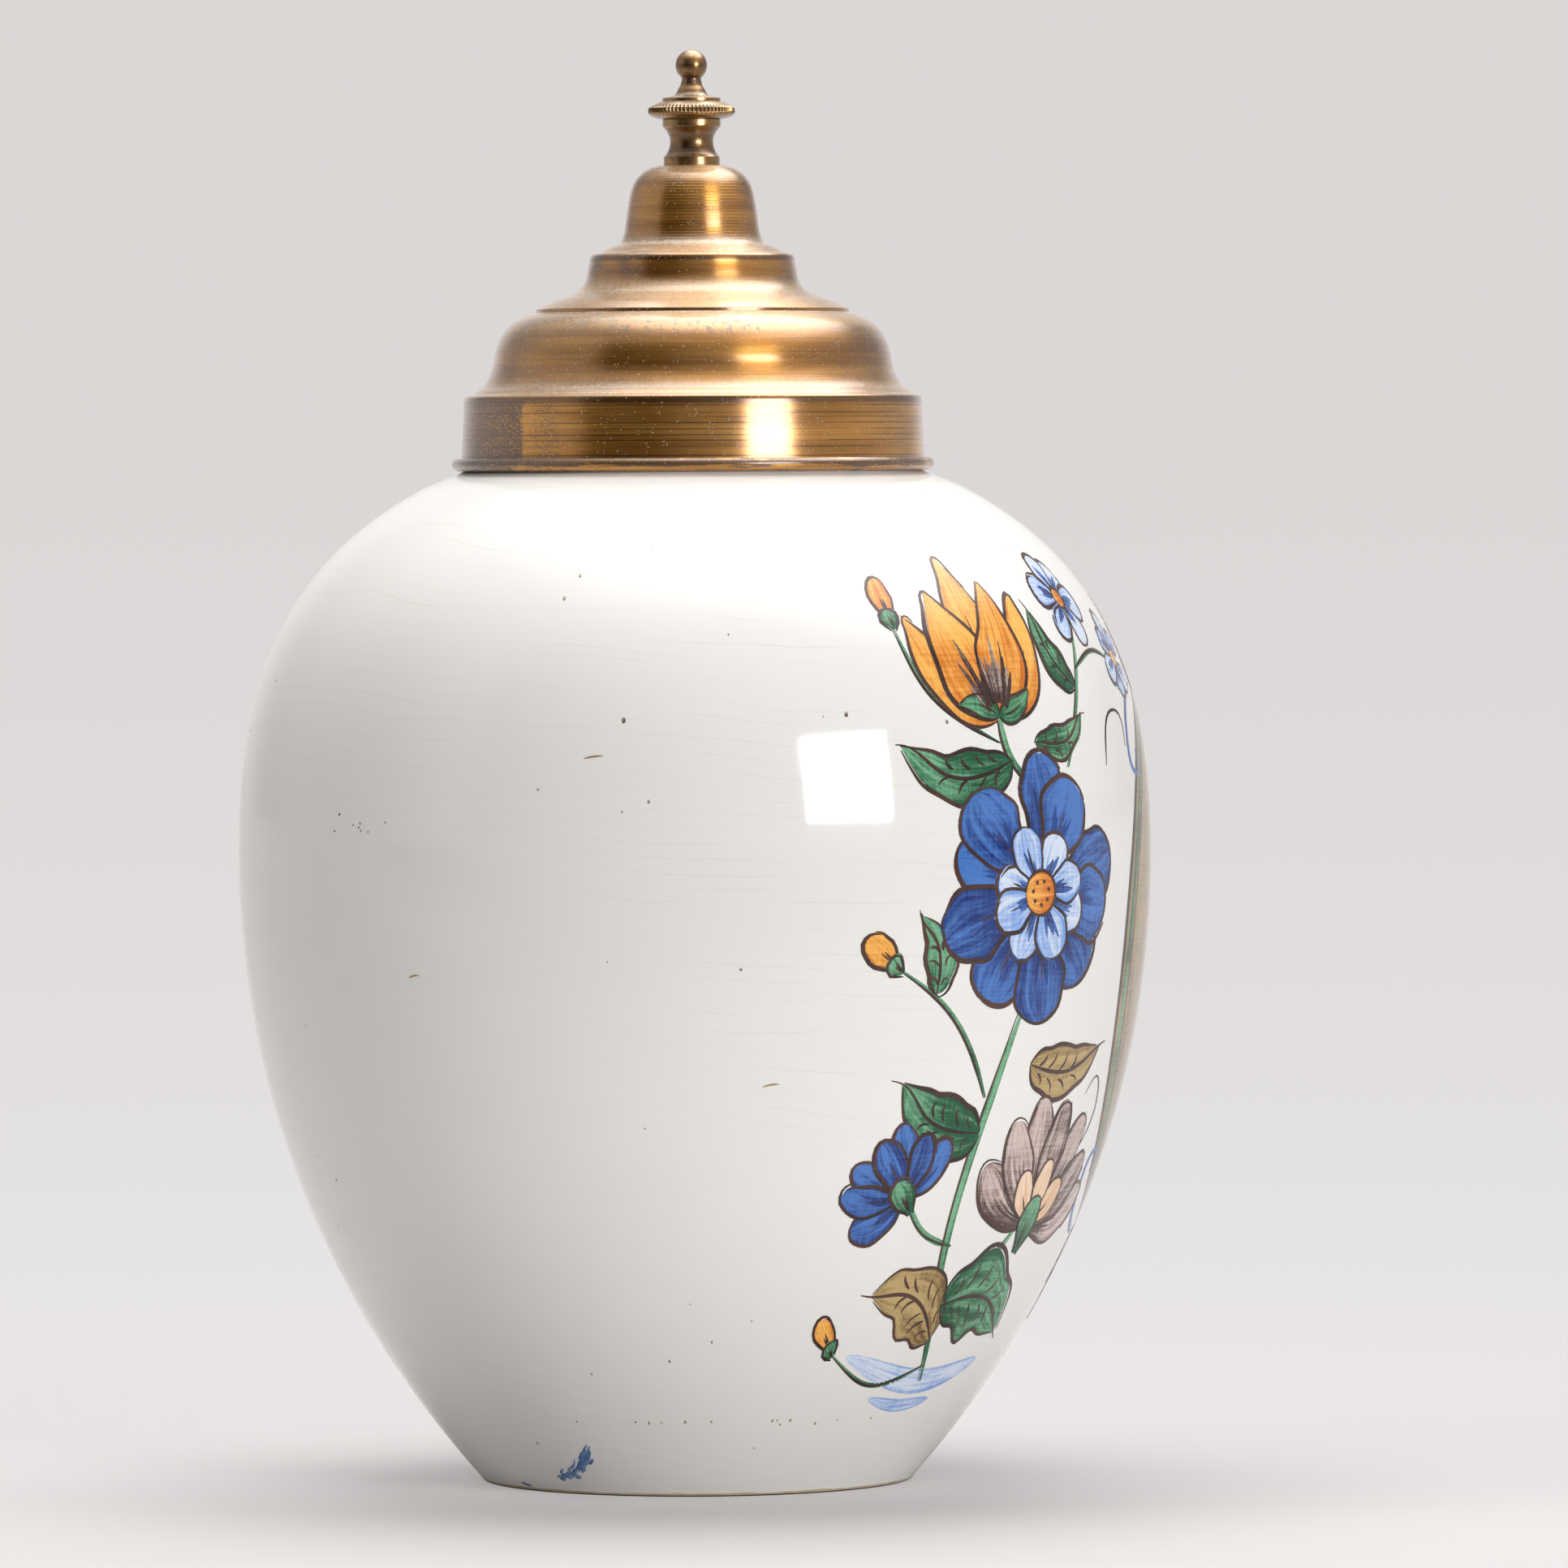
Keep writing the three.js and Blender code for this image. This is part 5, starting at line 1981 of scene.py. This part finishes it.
def mirrored_room(tree, toward):
    """How bright the room is in each direction, for rays that mirror."""
    back_wall = remap(tree, toward[0], 0.72, 0.98, 0.55, 1.1)
    beside = remap(tree, calc(tree, "ABSOLUTE", toward[0]), 0.85, 0.3, 0.0, 0.31)
    brighter_left = remap(tree, toward[1], -0.3, 0.3, 0.8, 1.4)
    walls = calc(tree, "MULTIPLY_ADD", beside, brighter_left, back_wall)
    room = times(tree, walls, rest_of(tree, dark_sector(tree, toward)))
    height = calc(tree, "MAXIMUM", toward[2], 0.05)
    over_x = window(tree, calc(tree, "DIVIDE", toward[0], height), *DIFFUSER_X, DIFFUSER_SOFT)
    over_y = window(tree, calc(tree, "DIVIDE", toward[1], height), *DIFFUSER_Y, DIFFUSER_SOFT)
    return plus(tree, room, times(tree, over_x, over_y, DIFFUSER_LEVEL))


def mix_values(tree, factor, first, second):
    """Mixes two plain values."""
    made = add(tree, "Mix", data_type="FLOAT")
    for number, value in ((0, factor), (2, first), (3, second)):
        connect(tree, made.inputs[number], value)
    return made.outputs[0]


world = bpy.data.worlds.new("studio")
world.use_nodes = True
bpy.context.scene.world = world
tree = world.node_tree
path = add(tree, "LightPath").outputs
toward = parts_of(tree, add(tree, "TexCoord").outputs["Generated"])
level = mix_values(tree, path["Is Glossy Ray"], PLAIN_LEVEL, mirrored_room(tree, toward))
seen = calc(tree, "MAXIMUM", path["Is Camera Ray"], path["Is Transmission Ray"])
background = tree.nodes["Background"]
background.inputs["Color"].default_value = BACKDROP
connect(tree, background.inputs["Strength"], mix_values(tree, seen, level, 1.0))
print("world:", len(tree.nodes), "nodes")

# %% [markdown]
# ## Lights
# A soft box to the right of the camera leaves the bright rectangle in the glaze, and its height above the
# floor is read from that rectangle's place. A wide one overhead whitens the shoulder and lays the shadow
# under the foot, and a large warm reflector at the left lifts that side. A sun lamp would be simpler, but
# its shadow has hard edges and its reflection is a dot. The last two don't show in reflections, because
# the room above already holds what the brass should mirror.

# %% The lamps
def soft_box(name, azimuth, elevation, distance, size, power, target):
    """A rectangular lamp that looks at a target. Azimuth runs from the camera's side to the right."""
    lamp = bpy.data.lights.new(name, "AREA")
    lamp.shape = "RECTANGLE"
    lamp.size, lamp.size_y = size
    lamp.energy = power
    made = bpy.data.objects.new(name, lamp)
    bpy.context.scene.collection.objects.link(made)
    flat = math.cos(math.radians(elevation))
    away = Vector((
        -math.cos(math.radians(azimuth)) * flat,
        -math.sin(math.radians(azimuth)) * flat,
        math.sin(math.radians(elevation)),
    ))
    made.location = target + away * distance
    made.rotation_euler = (-away).to_track_quat("-Z", "Y").to_euler()
    print(f"{name}: {power} W at {distance} m")
    return made


middle = Vector((0, 0, 0.15))
soft_box("window box", 38, 11.5, 1.6, (0.62, 0.44), 14.2, middle)
overhead = soft_box("overhead box", 180, 77, 1.4, (1.1, 1.1), 24.5, middle)
reflector = soft_box("left reflector", -72, 44, 1.8, (1.2, 1.2), 6.6, middle)
reflector.data.color = (1.0, 0.95, 0.9)
for lamp in (overhead, reflector):
    lamp.visible_glossy = False
